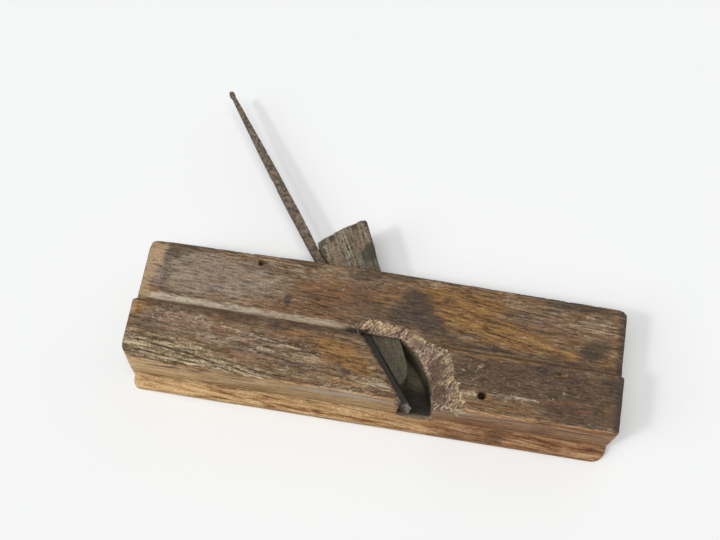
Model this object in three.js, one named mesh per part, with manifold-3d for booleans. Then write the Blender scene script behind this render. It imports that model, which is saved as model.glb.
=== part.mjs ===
// An old wooden moulding plane lying on its blind side, in millimetres.
// X runs from heel to toe, Y from sole to top and Z from the blind side to the open side.
// The origin is on the blind side, at the middle of the stock's length and height.

import * as THREE from 'three';
import { mergeVertices } from 'three/addons/utils/BufferGeometryUtils.js';
import Module from 'manifold-3d';

const wasm = await Module();
wasm.setup();

// Stock
const stockLength = 240;
const heelLean = 2.2;
const bodyHeight = 62;
const soleLean = 3.4;
const fenceDrop = 7.3;
const topRise = { ends: 0.4, middle: 2 };
const gripThickness = 35;
const stepRise = 10.5;
const stepDepth = 36.4;
const stepSlant = 1.8;
const coveRun = 8.4;
const fenceRoot = 6.8;
const fenceTip = 5.4;
const quirkWidth = 1.4;
const quirkDepth = 0.9;
const cornerRadii = {
  topHeel: 4,
  topToe: 4,
  stepHeel: 2.2,
  stepToe: 1.4,
  soleHeel: 8.5,
  soleToe: 2.4,
  fenceHeel: 3,
  fenceToe: 6.5,
  sharp: 0.4,
};
const topArrisRadius = 1.5;
const stepArrisRadius = 0.8;
const soleArrisRadius = 2.2;
const fenceTipRadius = 1.2;
const endEase = 1.4;

// Bed, mortise and escapement
const bedAngle = 52;
const bedFromHeel = 87;
const mortiseAcross = 29.6;
const blindWall = 6.5;
const mortiseWidth = 24;
const escapementDepth = 31;
const mouthLength = 17;
const splitLength = 6;
const splitWidth = 2.4;

// Chewed edge round the escapement
const chewFloor = 33;

// Iron
const ironThickness = 4;
const ironTipThickness = 1.8;
const bevelAngle = 30;
const edgeProjection = 0.4;
const bladeTop = 28;
const shoulderLength = 10;
const tangRootWidth = 10.5;
const tangTipWidth = 4.5;
const tangAbove = 117;
const tangStraight = 14;
const tangSwell = { forward: 2.3, up: 50 };
const tangBow = { forward: 0.6, up: 62 };
const tangLean = 4.2;
const knobLength = 4.4;
const knobThickness = 3.2;
const knobWidth = 6.4;

// Wedge
const wedgeAngle = 13.9;
const wedgeAbove = 13.8;
const wedgeCrown = 0.5;
const wedgeHeadRadius = 3.4;
const wedgeNoseStart = 61;
const wedgeNoseEnd = 71.5;
const wedgeNoseFlat = 1.6;

// Fit and cutting
const clearance = 0.3;
const overrun = 6;

// How many straight pieces each kind of curve is drawn with
const pieces = {
  profile: 5,
  cove: 8,
  corner: 6,
  plan: 4,
  wedge: 8,
  throat: 10,
  hole: 12,
  knobRound: 14,
  knobTall: 10,
};

// Nail and worm holes: place from the heel, place below the top, radius and depth
const gripHole = { fromHeel: 56.8, below: 3.6, radius: 1.4, depth: 7 };
const sideHoles = [
  { fromHeel: 174.6, below: 56.4, radius: 2, depth: 9 },
  { fromHeel: 209.4, below: 40.3, radius: 0.8, depth: 5 },
];

// Finishes
const woodFinish = { color: '#6f5138', roughness: 0.82, metalness: 0 };
const wedgeFinish = { color: '#77614f', roughness: 0.88, metalness: 0 };
const ironFinish = { color: '#5b4a40', roughness: 0.75, metalness: 0.55 };

// Places worked out from the sizes above
const heelX = -stockLength / 2;
const toeX = stockLength / 2;
const topY = (bodyHeight + fenceDrop - topRise.middle) / 2;
const soleY = topY - bodyHeight;
const fenceY = soleY - fenceDrop;
const stepY = topY - stepDepth;
const faceZ = gripThickness + stepRise;
const quirkZ = fenceRoot + quirkWidth;
const soleSlope = soleLean / (faceZ - quirkZ);
const soleAt = (z) => soleY - soleSlope * (z - quirkZ);
const heelAt = (z) => heelX - heelLean * (1 - z / faceZ);
const bedRadians = THREE.MathUtils.degToRad(bedAngle);
const bedTurn = Math.PI / 2 - bedRadians;
const bedTopX = heelX + bedFromHeel;
const bedFoot = bodyHeight / Math.sin(bedRadians);
const wedgeSlope = Math.tan(THREE.MathUtils.degToRad(wedgeAngle));
const mortiseMidZ = blindWall + mortiseWidth / 2;
const bladeWidth = mortiseWidth - 2 * clearance;
const bedToStock = new THREE.Matrix4()
  .makeRotationZ(bedTurn)
  .setPosition(bedTopX, topY, 0);

// A closed three.js geometry becomes a solid that can be cut.
function toSolid(geometry) {
  const bare = new THREE.BufferGeometry();
  bare.setAttribute('position', geometry.getAttribute('position'));
  bare.setIndex(geometry.getIndex());
  const merged = mergeVertices(bare);
  return new wasm.Manifold(new wasm.Mesh({
    numProp: 3,
    vertProperties: new Float32Array(merged.getAttribute('position').array),
    triVerts: new Uint32Array(merged.getIndex().array),
  }));
}

// A solid becomes a three.js geometry again.
function toGeometry(solid) {
  const mesh = solid.getMesh();
  const geometry = new THREE.BufferGeometry();
  geometry.setAttribute('position', new THREE.BufferAttribute(mesh.vertProperties, 3));
  geometry.setIndex(new THREE.BufferAttribute(mesh.triVerts, 1));
  geometry.computeVertexNormals();
  return geometry;
}

// An outline in the XY plane, drawn up from one height to another.
function drawUp(shape, fromZ, toZ, curveSegments = pieces.wedge) {
  const depth = toZ - fromZ;
  const geometry = new THREE.ExtrudeGeometry(shape, { depth, bevelEnabled: false, curveSegments });
  return geometry.translate(0, 0, fromZ);
}

// A polygon whose corners are rounded by their own radius.
function roundedShape(corners) {
  const shape = new THREE.Shape();
  corners.forEach((corner, i) => {
    const before = corners[(i + corners.length - 1) % corners.length].at;
    const after = corners[(i + 1) % corners.length].at;
    const radius = corner.radius ?? 0;
    const enter = corner.at.clone().addScaledVector(before.clone().sub(corner.at).normalize(), radius);
    const leave = corner.at.clone().addScaledVector(after.clone().sub(corner.at).normalize(), radius);
    if (i === 0) {
      shape.moveTo(enter.x, enter.y);
    } else {
      shape.lineTo(enter.x, enter.y);
    }
    if (radius > 0) {
      shape.quadraticCurveTo(corner.at.x, corner.at.y, leave.x, leave.y);
    }
  });
  shape.closePath();
  return shape;
}

const at = (x, y) => new THREE.Vector2(x, y);

// Rings of points, one above the other, joined into a closed body with flat ends.
function loft(rings) {
  const count = rings[0].length;
  const positions = rings.flat().flatMap((point) => point.toArray());
  const index = [];
  for (let level = 0; level < rings.length - 1; level += 1) {
    for (let i = 0; i < count; i += 1) {
      const a = level * count + i;
      const b = level * count + ((i + 1) % count);
      index.push(a, b, b + count, a, b + count, a + count);
    }
  }
  const last = (rings.length - 1) * count;
  const flat = (ring) => ring.map((point) => at(point.x, point.y));
  for (const [a, b, c] of THREE.ShapeUtils.triangulateShape(flat(rings[0]), [])) {
    index.push(c, b, a);
  }
  for (const [a, b, c] of THREE.ShapeUtils.triangulateShape(flat(rings[rings.length - 1]), [])) {
    index.push(last + a, last + b, last + c);
  }
  const geometry = new THREE.BufferGeometry();
  geometry.setAttribute('position', new THREE.Float32BufferAttribute(positions, 3));
  geometry.setIndex(index);
  return geometry;
}

// The stock's end grain outline, across Y and up Z, with the cove at the foot of the step.
function stockProfile() {
  const cove = [];
  for (let i = 0; i <= pieces.cove; i += 1) {
    const turn = (i / pieces.cove) * (Math.PI / 2);
    const y = stepY + coveRun * (1 - Math.sin(turn));
    const z = gripThickness + (stepRise - stepArrisRadius) * (1 - Math.cos(turn));
    cove.push({ at: at(y, z) });
  }
  return roundedShape([
    { at: at(topY, 0), radius: topArrisRadius },
    { at: at(topY, gripThickness), radius: topArrisRadius },
    ...cove,
    { at: at(stepY, faceZ), radius: stepArrisRadius },
    { at: at(soleAt(faceZ), faceZ), radius: soleArrisRadius },
    { at: at(soleY, quirkZ) },
    { at: at(soleY + quirkDepth, fenceRoot + quirkWidth / 2) },
    { at: at(soleY, fenceRoot) },
    { at: at(fenceY, fenceTip), radius: fenceTipRadius },
    { at: at(fenceY, 0), radius: fenceTipRadius },
  ]);
}

// How far the top stands above the line through its end corners.
function topRiseAt(x) {
  const fromMiddle = Math.abs(x) / toeX;
  return topRise.middle - (topRise.middle - topRise.ends) * fromMiddle;
}

// How much higher the step stands than at the toe, as it rises towards the heel.
function stepLiftAt(x) {
  return stepSlant * (toeX - x) / stockLength;
}

// Whether a point of the profile belongs to the step or to the cove at its foot.
function isOnStep(y, z) {
  return z > quirkZ && y > stepY - 2 * stepArrisRadius && y < stepY + coveRun + stepArrisRadius;
}

// The plain stick: the profile run past both ends, then cut to length with the ends' edges eased.
function stick() {
  const curveSegments = pieces.profile;
  const settings = { depth: stockLength + 2 * heelLean, steps: 2, bevelEnabled: false, curveSegments };
  const run = new THREE.ExtrudeGeometry(stockProfile(), settings).translate(0, 0, heelX - heelLean);
  run.applyMatrix4(new THREE.Matrix4().makeBasis(
    new THREE.Vector3(0, 1, 0),
    new THREE.Vector3(0, 0, 1),
    new THREE.Vector3(1, 0, 0),
  ));
  const plan = roundedShape([
    { at: at(heelAt(0), 0), radius: endEase },
    { at: at(toeX, 0), radius: endEase },
    { at: at(toeX, faceZ), radius: endEase },
    { at: at(heelX, faceZ), radius: endEase },
  ]);
  const easing = drawUp(plan, fenceY - overrun, topY + overrun, pieces.plan);
  easing.applyMatrix4(new THREE.Matrix4().makeBasis(
    new THREE.Vector3(1, 0, 0),
    new THREE.Vector3(0, 0, 1),
    new THREE.Vector3(0, -1, 0),
  ));
  const risen = toSolid(run).warp((point) => {
    if (point[1] > topY - 2 * topArrisRadius) {
      point[1] += topRiseAt(point[0]);
    }
    if (isOnStep(point[1], point[2])) {
      point[1] += stepLiftAt(point[0]);
    }
  });
  return risen.intersect(toSolid(easing));
}

// What is taken off to round one corner of the stock, whose place and radius can change with height.
function cornerWaste(endAt, inward, upward, levels) {
  const rings = levels.map(({ y, z, radius }) => {
    const x = endAt(z);
    const outX = x - inward * overrun;
    const outY = y - upward * coveRun;
    const centre = at(x + inward * radius, y + upward * radius);
    const round = [];
    for (let i = 0; i <= pieces.corner; i += 1) {
      const turn = (i / pieces.corner) * (Math.PI / 2);
      round.push(at(centre.x - inward * radius * Math.sin(turn), centre.y - upward * radius * Math.cos(turn)));
    }
    const outline = [at(outX, outY), at(centre.x, outY), ...round, at(outX, centre.y)];
    if (inward * upward > 0) {
      outline.reverse();
    }
    return outline.map((point) => new THREE.Vector3(point.x, point.y, z)).reverse();
  });
  return toSolid(loft(rings));
}

// Each corner is rounded from the blind side up, and the step's only towards the open side.
function roundCorners(solid) {
  const under = -overrun;
  const above = faceZ + overrun;
  const { sharp } = cornerRadii;
  const even = (y, fromZ, toZ, radius) => [{ y, z: fromZ, radius }, { y, z: toZ, radius }];
  const top = (radius) => even(topY + topRise.ends, under, above, radius);
  const fence = (radius) => even(fenceY, under, fenceRoot, radius);
  const step = (y, radius) => [
    { y, z: gripThickness, radius: sharp },
    { y, z: faceZ, radius },
  ];
  const sole = (radius) => [
    { y: soleAt(fenceRoot), z: fenceRoot, radius: sharp },
    { y: soleAt(faceZ), z: faceZ, radius },
    { y: soleAt(above), z: above, radius },
  ];
  const corners = [
    { upward: -1, heelEnd: heelAt, heel: top(cornerRadii.topHeel), toe: top(cornerRadii.topToe) },
    {
      upward: -1,
      heelEnd: heelAt,
      heel: step(stepY + stepSlant, cornerRadii.stepHeel),
      toe: step(stepY, cornerRadii.stepToe),
    },
    { upward: 1, heelEnd: heelAt, heel: sole(cornerRadii.soleHeel), toe: sole(cornerRadii.soleToe) },
    { upward: 1, heelEnd: () => heelX, heel: fence(cornerRadii.fenceHeel), toe: fence(cornerRadii.fenceToe) },
  ];
  let rounded = solid;
  for (const { upward, heelEnd, heel, toe } of corners) {
    rounded = rounded.subtract(cornerWaste(heelEnd, 1, upward, heel));
    rounded = rounded.subtract(cornerWaste(() => toeX, -1, upward, toe));
  }
  return rounded;
}

// The fence stops short of the leaning heel end.
function fenceHeelWaste() {
  const length = heelLean + overrun;
  const depth = fenceDrop + overrun;
  const height = fenceRoot + overrun;
  const block = new THREE.BoxGeometry(length, depth, height);
  block.translate(heelX - length / 2, soleY - depth / 2, fenceRoot - height / 2);
  return toSolid(block);
}

// The sloping hole that holds the iron and the wedge, drawn square to the bed.
function mortiseWaste() {
  const head = overrun;
  const foot = -bedFoot - overrun;
  const outline = roundedShape([
    { at: at(0, head) },
    { at: at(0, foot) },
    { at: at(mortiseAcross + wedgeSlope * foot, foot) },
    { at: at(mortiseAcross + wedgeSlope * head, head) },
  ]);
  const waste = drawUp(outline, blindWall, blindWall + mortiseWidth);
  return toSolid(waste.applyMatrix4(bedToStock));
}

// Points along the bed and the front wall, at a depth below the top of the stock.
const bedX = (depth) => bedTopX + depth / Math.tan(bedRadians);
function frontX(depth) {
  const frontRadians = bedRadians + THREE.MathUtils.degToRad(wedgeAngle);
  const across = mortiseAcross / Math.sin(frontRadians) * Math.cos(frontRadians - bedRadians);
  return bedTopX + across + depth / Math.tan(frontRadians);
}

const escapementTopY = topY - escapementDepth;
const throatLength = bedX(bodyHeight) + mouthLength - bedX(escapementDepth);
const throatHeight = bodyHeight - escapementDepth;
const frontBulgeShare = { along: 0.87, down: 0.3 };

// A place in the escapement, as shares of its length from the bed and of its height.
const throatPlace = (along, down) => at(
  bedX(escapementDepth) + along * throatLength,
  escapementTopY - down * throatHeight,
);

// The opening in the open side that lets the shavings out, from the bed to the mouth's front.
function escapementWaste() {
  const mouthFront = bedX(bodyHeight) + mouthLength;
  const bulge = throatPlace(frontBulgeShare.along, frontBulgeShare.down);
  const shape = new THREE.Shape();
  shape.moveTo(bedX(escapementDepth), escapementTopY);
  shape.lineTo(bedX(bodyHeight + overrun), soleY - overrun);
  shape.lineTo(mouthFront, soleY - overrun);
  shape.lineTo(mouthFront, soleY);
  shape.quadraticCurveTo(bulge.x, bulge.y, frontX(escapementDepth), escapementTopY);
  shape.closePath();
  return toSolid(drawUp(shape, blindWall, faceZ + overrun, pieces.throat));
}

// The pointed split that runs back from the bed at the foot of the step.
function splitWaste() {
  const root = bedX(escapementDepth + splitWidth) + splitWidth;
  const shape = new THREE.Shape();
  shape.moveTo(root - splitLength, escapementTopY - splitWidth / 2);
  shape.lineTo(root, escapementTopY - splitWidth);
  shape.lineTo(root, escapementTopY);
  shape.closePath();
  return toSolid(drawUp(shape, blindWall + mortiseWidth / 2, faceZ + overrun));
}

// Shares of the escapement's length and height, from the bed's side round to the sole.
const chewOuterShares = [
  [-0.06, 0.05], [0.114, -0.2], [0.28, -0.22], [0.53, -0.14], [0.84, 0.03],
  [1.08, 0.15], [1.17, 0.4], [1.23, 0.66], [1.33, 0.93], [1.34, 1.15],
];
const chewInnerShares = [
  [0.06, 0.1], [0.15, 0.02], [0.27, 0], [0.5, 0.01], [0.68, 0.14],
  [0.79, 0.29], [0.88, 0.48], [0.95, 0.7], [1.01, 0.94], [1.02, 1.15],
];
const chewRiseShares = [0.35, 0.06, 0.04, 0.06, 0.14, 0.6, 1, 1, 1, 1];
const chewBackShares = [[0.7, 1.15], [0.1, 0.2]];

// The funnel of broken wood round the front of the escapement.
function chewWaste() {
  const above = faceZ + overrun;
  const back = chewBackShares.map(([along, down]) => throatPlace(along, down));
  const ring = (shares, height) => [
    ...shares.map(([along, down], i) => {
      const place = throatPlace(along, down);
      return new THREE.Vector3(place.x, place.y, height(i));
    }),
    ...back.map((place) => new THREE.Vector3(place.x, place.y, height(shares.length - 1))),
  ].reverse();
  const rise = (i) => gripThickness + chewRiseShares[i] * stepRise;
  return toSolid(loft([
    ring(chewInnerShares, () => chewFloor),
    ring(chewOuterShares, rise),
    ring(chewOuterShares, () => above),
  ]));
}

// A blind round hole sunk from a flat side.
function holeWaste({ fromHeel, below, radius, depth }, surfaceZ) {
  const drill = new THREE.CylinderGeometry(radius, radius, depth + overrun, pieces.hole);
  drill.rotateX(Math.PI / 2);
  drill.translate(heelX + fromHeel, topY - below, surfaceZ + (overrun - depth) / 2);
  return toSolid(drill);
}

function makeStock() {
  const wastes = [
    fenceHeelWaste(),
    mortiseWaste(),
    escapementWaste(),
    splitWaste(),
    chewWaste(),
    holeWaste(gripHole, gripThickness),
    ...sideHoles.map((hole) => holeWaste(hole, faceZ)),
  ];
  let stock = roundCorners(stick());
  for (const waste of wastes) {
    stock = stock.subtract(waste);
  }
  return toGeometry(stock);
}

// The iron's edge keeps to the leaning sole, so its sides are drawn on a slant.
const leanWithSole = new THREE.Matrix4().makeShear(0, 0, 0, 0, 0, -soleSlope / Math.sin(bedRadians));

// The iron seen edge-on: across is away from the bed, up is along it.
function ironEdgeShape() {
  const back = clearance;
  const front = clearance + ironThickness;
  const edgeDepth = topY - soleAt(mortiseMidZ) + edgeProjection;
  const edge = -(edgeDepth + front * Math.cos(bedRadians)) / Math.sin(bedRadians);
  const heelOfBevel = edge + ironThickness / Math.tan(THREE.MathUtils.degToRad(bevelAngle));
  const tipBack = back + tangLean;
  const tipFront = tipBack + ironTipThickness;
  const shape = new THREE.Shape();
  shape.moveTo(front, edge);
  shape.lineTo(front, tangStraight);
  shape.quadraticCurveTo(front + tangSwell.forward, tangSwell.up, tipFront, tangAbove);
  shape.lineTo(tipBack, tangAbove);
  shape.quadraticCurveTo(back + tangBow.forward, tangBow.up, back, tangStraight);
  shape.lineTo(back, heelOfBevel);
  shape.closePath();
  return shape;
}

// The iron seen from the front: blade, shoulders and tapering tang.
function ironFaceShape() {
  const foot = -bedFoot - 2 * overrun;
  const half = bladeWidth / 2;
  const tangFoot = -bladeTop + shoulderLength;
  const rootHalf = tangRootWidth / 2;
  const tipHalf = tangTipWidth / 2;
  const shape = new THREE.Shape();
  shape.moveTo(-half, foot);
  shape.lineTo(half, foot);
  shape.lineTo(half, -bladeTop);
  shape.bezierCurveTo(half, tangFoot, rootHalf, -bladeTop, rootHalf, tangFoot);
  shape.lineTo(tipHalf, tangAbove + overrun);
  shape.lineTo(-tipHalf, tangAbove + overrun);
  shape.lineTo(-rootHalf, tangFoot);
  shape.bezierCurveTo(-rootHalf, -bladeTop, -half, tangFoot, -half, -bladeTop);
  shape.closePath();
  return shape;
}

function makeIron() {
  const halfWidth = mortiseWidth / 2;
  const side = drawUp(ironEdgeShape(), -halfWidth, halfWidth);
  side.applyMatrix4(leanWithSole).translate(0, 0, mortiseMidZ);
  const reach = tangLean + ironThickness + overrun;
  const face = drawUp(ironFaceShape(), -overrun, reach);
  face.applyMatrix4(new THREE.Matrix4().makeBasis(
    new THREE.Vector3(0, 0, 1),
    new THREE.Vector3(0, 1, 0),
    new THREE.Vector3(-1, 0, 0),
  ));
  face.translate(reach - overrun, 0, mortiseMidZ);
  const knob = new THREE.SphereGeometry(1, pieces.knobRound, pieces.knobTall);
  knob.scale(knobThickness / 2, knobLength / 2, knobWidth / 2);
  knob.translate(clearance + tangLean + ironTipThickness / 2, tangAbove, mortiseMidZ);
  return toGeometry(toSolid(side).intersect(toSolid(face)).add(toSolid(knob)));
}

// The wedge seen from the open side, in the same directions as the iron.
function makeWedge() {
  const back = clearance + ironThickness + clearance;
  const front = (up) => mortiseAcross - clearance + wedgeSlope * up;
  const noseFront = front(-wedgeNoseStart);
  const headFront = front(wedgeAbove);
  const noseEnd = -wedgeNoseEnd;
  const shape = new THREE.Shape();
  shape.moveTo(back, noseEnd);
  shape.lineTo(back + wedgeNoseFlat, noseEnd);
  shape.quadraticCurveTo(noseFront - wedgeNoseFlat, noseEnd + wedgeNoseFlat, noseFront, -wedgeNoseStart);
  shape.lineTo(front(wedgeAbove - wedgeHeadRadius), wedgeAbove - wedgeHeadRadius);
  shape.quadraticCurveTo(headFront, wedgeAbove, headFront - wedgeHeadRadius, wedgeAbove);
  shape.quadraticCurveTo((back + headFront) / 2, wedgeAbove + 2 * wedgeCrown, back, wedgeAbove);
  shape.closePath();
  const low = blindWall + clearance;
  return drawUp(shape, low, low + bladeWidth);
}

function piece(name, geometry, finish) {
  const mesh = new THREE.Mesh(geometry, new THREE.MeshStandardMaterial(finish));
  mesh.name = name;
  return mesh;
}

// The iron and the wedge stand on the bed, so they are drawn along it.
const bed = new THREE.Group();
bed.position.set(bedTopX, topY, 0);
bed.rotation.z = bedTurn;
bed.add(piece('iron', makeIron(), ironFinish));
bed.add(piece('wedge', makeWedge(), wedgeFinish));

const plane = new THREE.Group();
plane.add(piece('stock', makeStock(), woodFinish));
plane.add(bed);

export default plane;
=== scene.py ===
import math
from types import SimpleNamespace

import bmesh
import bpy
import numpy as np
from mathutils import Matrix, Vector

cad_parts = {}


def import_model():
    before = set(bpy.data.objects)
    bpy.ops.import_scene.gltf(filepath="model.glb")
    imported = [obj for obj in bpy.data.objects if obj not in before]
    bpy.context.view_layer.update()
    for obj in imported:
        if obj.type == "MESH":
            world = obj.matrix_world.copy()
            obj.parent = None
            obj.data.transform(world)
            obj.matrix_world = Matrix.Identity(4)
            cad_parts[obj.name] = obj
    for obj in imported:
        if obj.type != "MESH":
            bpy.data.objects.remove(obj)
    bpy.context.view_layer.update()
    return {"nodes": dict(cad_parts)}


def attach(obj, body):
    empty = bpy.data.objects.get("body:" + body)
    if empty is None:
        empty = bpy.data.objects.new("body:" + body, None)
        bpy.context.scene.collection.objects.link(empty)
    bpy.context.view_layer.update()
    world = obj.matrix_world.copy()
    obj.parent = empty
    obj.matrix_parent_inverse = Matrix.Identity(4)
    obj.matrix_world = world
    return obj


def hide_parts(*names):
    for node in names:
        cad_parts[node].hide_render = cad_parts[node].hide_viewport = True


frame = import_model()

MM = 0.001

# The stock's own measures in millimetres, from the heel and from its top corners,
# and the turn of the iron's bed
LENGTH = 240.0
TOP_Y = 33.65
BED_TURN = math.radians(38)
BED_FROM_HEEL = 87.0
STEP_SLANT = 1.8

# Sizes of the even skins that replace the CAD's faces, in millimetres
STOCK_SKIN = 0.92
IRON_SKIN = 0.42
WEDGE_SKIN = 0.5


# Small tools

def colour(code):
    """An sRGB hex colour as linear RGBA."""
    parts = [int(code[i:i + 2], 16) / 255 for i in (1, 3, 5)]
    return [c / 12.92 if c <= 0.04045 else ((c + 0.055) / 1.055) ** 2.4 for c in parts] + [1.0]


def add(tree, kind, settings=None, inputs=None, stops=None):
    """Adds a node: properties are set, values are written and sockets are linked."""
    node = tree.nodes.new(kind)
    for name, value in (settings or {}).items():
        setattr(node, name, value)
    for name, value in (inputs or {}).items():
        if isinstance(value, bpy.types.NodeSocket):
            tree.links.new(value, node.inputs[name])
        else:
            node.inputs[name].default_value = value
    if stops:
        ramp = node.color_ramp
        while len(ramp.elements) < len(stops):
            ramp.elements.new(1.0)
        for element, (place, code) in zip(ramp.elements, stops):
            element.position = place
            element.color = colour(code)
    return node


def smooth(value, low, high):
    """Nought below low, one above high, and smooth between."""
    share = np.clip((value - low) / (high - low), 0, 1)
    return share * share * (3 - 2 * share)


# Wear that swings to both sides of its mean: its cells in millimetres, its seed, its layers,
# and how far it swings from end to end in millimetres. The cells lie along, down and up
# on the stock, and away from the bed, along it and up on the wedge and the iron
SWINGS = {
    "drift_along": ((7, 1.8, 9), 51, 3, 9),
    "drift_down": ((9, 2.2, 9), 53, 3, 3.2),
    "uneven_stock": ((34, 22, 22), 11, 2, 0.22),
    "raised_grain": ((22, 1.8, 1.8), 12, 2, 0.10),
    "fanned_fibres": ((9.0, 2.2, 5.0), 15, 2, 2.2),
    "torn_lumps": ((3.4, 3.4, 3.4), 17, 2, 0.7),
    "torn_rim": ((3.2, 3.2, 30), 41, 3, 4.5),
    "torn_floor": ((4, 4, 30), 63, 2, 9),
    "frayed_mouth": ((3, 3, 3), 67, 2, 3),
    "dark_lines": ((9, 30, 30), 55, 3, 1.2),
    "pale_lines": ((9, 30, 30), 57, 3, 1.2),
    "sole_lines": ((12, 30, 30), 59, 3, 3),
    "grooves": ((34, 7, 34), 61, 2, 5),
    "uneven_wedge": ((9, 14, 9), 22, 2, 0.3),
    "wedge_grain": ((1.8, 12, 1.8), 24, 2, 0.35),
    "hammered_iron": ((5, 16, 5), 31, 2, 0.30),
}
# Wear, and painted shade on the wedge's crown, in spots: its cells, its seed, its layers, and the values
# where a spot starts and is full.
# The crown's painted shade follows its fray, so both have one seed
SPOTS = {
    "stock_nicks": ((3.4, 3.4, 3.4), 13, 3, (0.60, 0.80)),
    "crumb_spots": ((5, 5, 5), 65, 2, (0.42, 0.58)),
    "dark_arris": ((9, 9, 9), 45, 2, (0.35, 0.6)),
    "broken_grooves": ((14, 2.2, 14), 62, 2, (0.40, 0.56)),
    "crown_fray": ((1.6, 7, 1.6), 21, 3, (0.40, 0.75)),
    "crown_shade_spots": ((1.6, 7, 1.6), 21, 3, (0.45, 0.6)),
    "wedge_nicks": ((2.5, 2.5, 2.5), 23, 3, (0.45, 0.75)),
    "rust_pits": ((1.6, 2.2, 1.6), 32, 3, (0.58, 0.8)),
}
NOISE_TABLE_SIZE = 32
NOISE_LAYER_SHIFT = 7.3


def noise(points, cells, seed, layers):
    """Smooth random values from nought to one, each layer with cells half as large."""
    total = np.zeros(len(points))
    weight = 0.0
    for layer in range(layers):
        table = np.random.default_rng(seed + layer).random((NOISE_TABLE_SIZE,) * 3)
        place = points / (np.array(cells) / 2 ** layer) + NOISE_LAYER_SHIFT * layer
        low = np.floor(place).astype(int)
        part = place - low
        part = part * part * (3 - 2 * part)
        value = np.zeros(len(points))
        for corner in range(8):
            step = np.array([corner & 1, corner >> 1 & 1, corner >> 2 & 1])
            index = (low + step) % NOISE_TABLE_SIZE
            share = np.prod(np.where(step, part, 1 - part), axis=1)
            value += share * table[index[:, 0], index[:, 1], index[:, 2]]
        total += value / 2 ** layer
        weight += 1 / 2 ** layer
    return total / weight


def swing(points, name):
    """Millimetres to either side of nought for a kind of wear."""
    cells, seed, layers, width = SWINGS[name]
    return (noise(points, cells, seed, layers) - 0.5) * width


def spots(points, name):
    """One in the spots of a kind of wear and nought between them."""
    cells, seed, layers, (start, full) = SPOTS[name]
    return smooth(noise(points, cells, seed, layers), start, full)


# How far an oval fades to either side of its radii, as a share of them
PATCH_FADE = 0.45


def patch(along, down, mark):
    """A soft oval from its centre, radii, lean and strength."""
    centre, radii, turn, strength = mark
    c, s = math.cos(turn), math.sin(turn)
    u = (along - centre[0]) * c + (down - centre[1]) * s
    v = (down - centre[1]) * c - (along - centre[0]) * s
    reach = np.hypot(u / radii[0], v / radii[1])
    return strength * (1 - smooth(reach, 1 - PATCH_FADE, 1 + PATCH_FADE))


def patches(along, down, marks):
    """The strongest of several soft ovals at each point."""
    return np.max([patch(along, down, mark) for mark in marks], axis=0)


# How far a thin line fades at each end, beyond it and within it, in millimetres,
# and between which shares of half its width it fades at its sides
LINE_END_FADE = (1.5, 2.5)
LINE_SIDE_FADE = (0.5, 1.6)


def stroke(along, down, line):
    """A thin line from its two ends, half its width and its strength."""
    (x0, y0), (x1, y1), half, strength = line
    length = math.hypot(x1 - x0, y1 - y0)
    c, s = (x1 - x0) / length, (y1 - y0) / length
    u = (along - x0) * c + (down - y0) * s
    v = (down - y0) * c - (along - x0) * s
    beyond, inside = LINE_END_FADE
    near, far = LINE_SIDE_FADE
    ends = smooth(u, -beyond, inside) * (1 - smooth(u, length - inside, length + beyond))
    return strength * ends * (1 - smooth(np.abs(v), half * near, half * far))


def strokes(along, down, lines):
    """The strongest of several thin lines at each point."""
    return np.max([stroke(along, down, line) for line in lines], axis=0)


# Stands in for the height of a level side, which no point crosses
LEVEL_SIDE = 1e-9


def within(along, down, outline):
    """One where a point lies inside a closed outline."""
    inside = np.zeros(len(along), bool)
    for (x0, y0), (x1, y1) in zip(outline, outline[1:] + outline[:1]):
        crosses = (y0 > down) != (y1 > down)
        place = x0 + (down - y0) / ((y1 - y0) or LEVEL_SIDE) * (x1 - x0)
        inside ^= crosses & (along < place)
    return inside.astype(float)


def edge_distance(along, down, outline):
    """Millimetres from each point to a closed outline."""
    best = np.full(len(along), np.inf)
    for (x0, y0), (x1, y1) in zip(outline, outline[1:] + outline[:1]):
        dx, dy = x1 - x0, y1 - y0
        share = np.clip(((along - x0) * dx + (down - y0) * dy) / (dx * dx + dy * dy), 0, 1)
        best = np.minimum(best, np.hypot(along - x0 - share * dx, down - y0 - share * dy))
    return best


def mesh_vectors(mesh, name):
    """The vertices' places or normals as rows."""
    values = np.zeros(len(mesh.vertices) * 3)
    mesh.vertices.foreach_get(name, values)
    return values.reshape(-1, 3)


def neighbour_mean(mesh, values, rounds):
    """Each vertex's place replaced by the mean of its neighbours, again and again."""
    ends = np.zeros(len(mesh.edges) * 2, int)
    mesh.edges.foreach_get("vertices", ends)
    a, b = ends.reshape(-1, 2).T
    count = np.maximum(np.bincount(a, minlength=len(values)) + np.bincount(b, minlength=len(values)), 1)
    for _ in range(rounds):
        total = np.zeros_like(values)
        np.add.at(total, a, values[b])
        np.add.at(total, b, values[a])
        values = total / count[:, None]
    return values


def write_points(mesh, points):
    """Moves the vertices to new places."""
    mesh.vertices.foreach_set("co", points.ravel())
    mesh.update()


def write_shares(mesh, shares):
    """Writes named values on the vertices for the materials to read."""
    for name, values in shares.items():
        layer = mesh.attributes.new(name, "FLOAT", "POINT")
        layer.data.foreach_set("value", np.clip(values, 0, 1).astype(np.float32))


def shade_smooth(mesh):
    """Lets the light run smoothly over the faces."""
    mesh.polygons.foreach_set("use_smooth", [True] * len(mesh.polygons))
    mesh.update()


# Points of the CAD's loose triangles that are this close are one point, in metres
SAME_POINT = 1e-6


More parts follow.
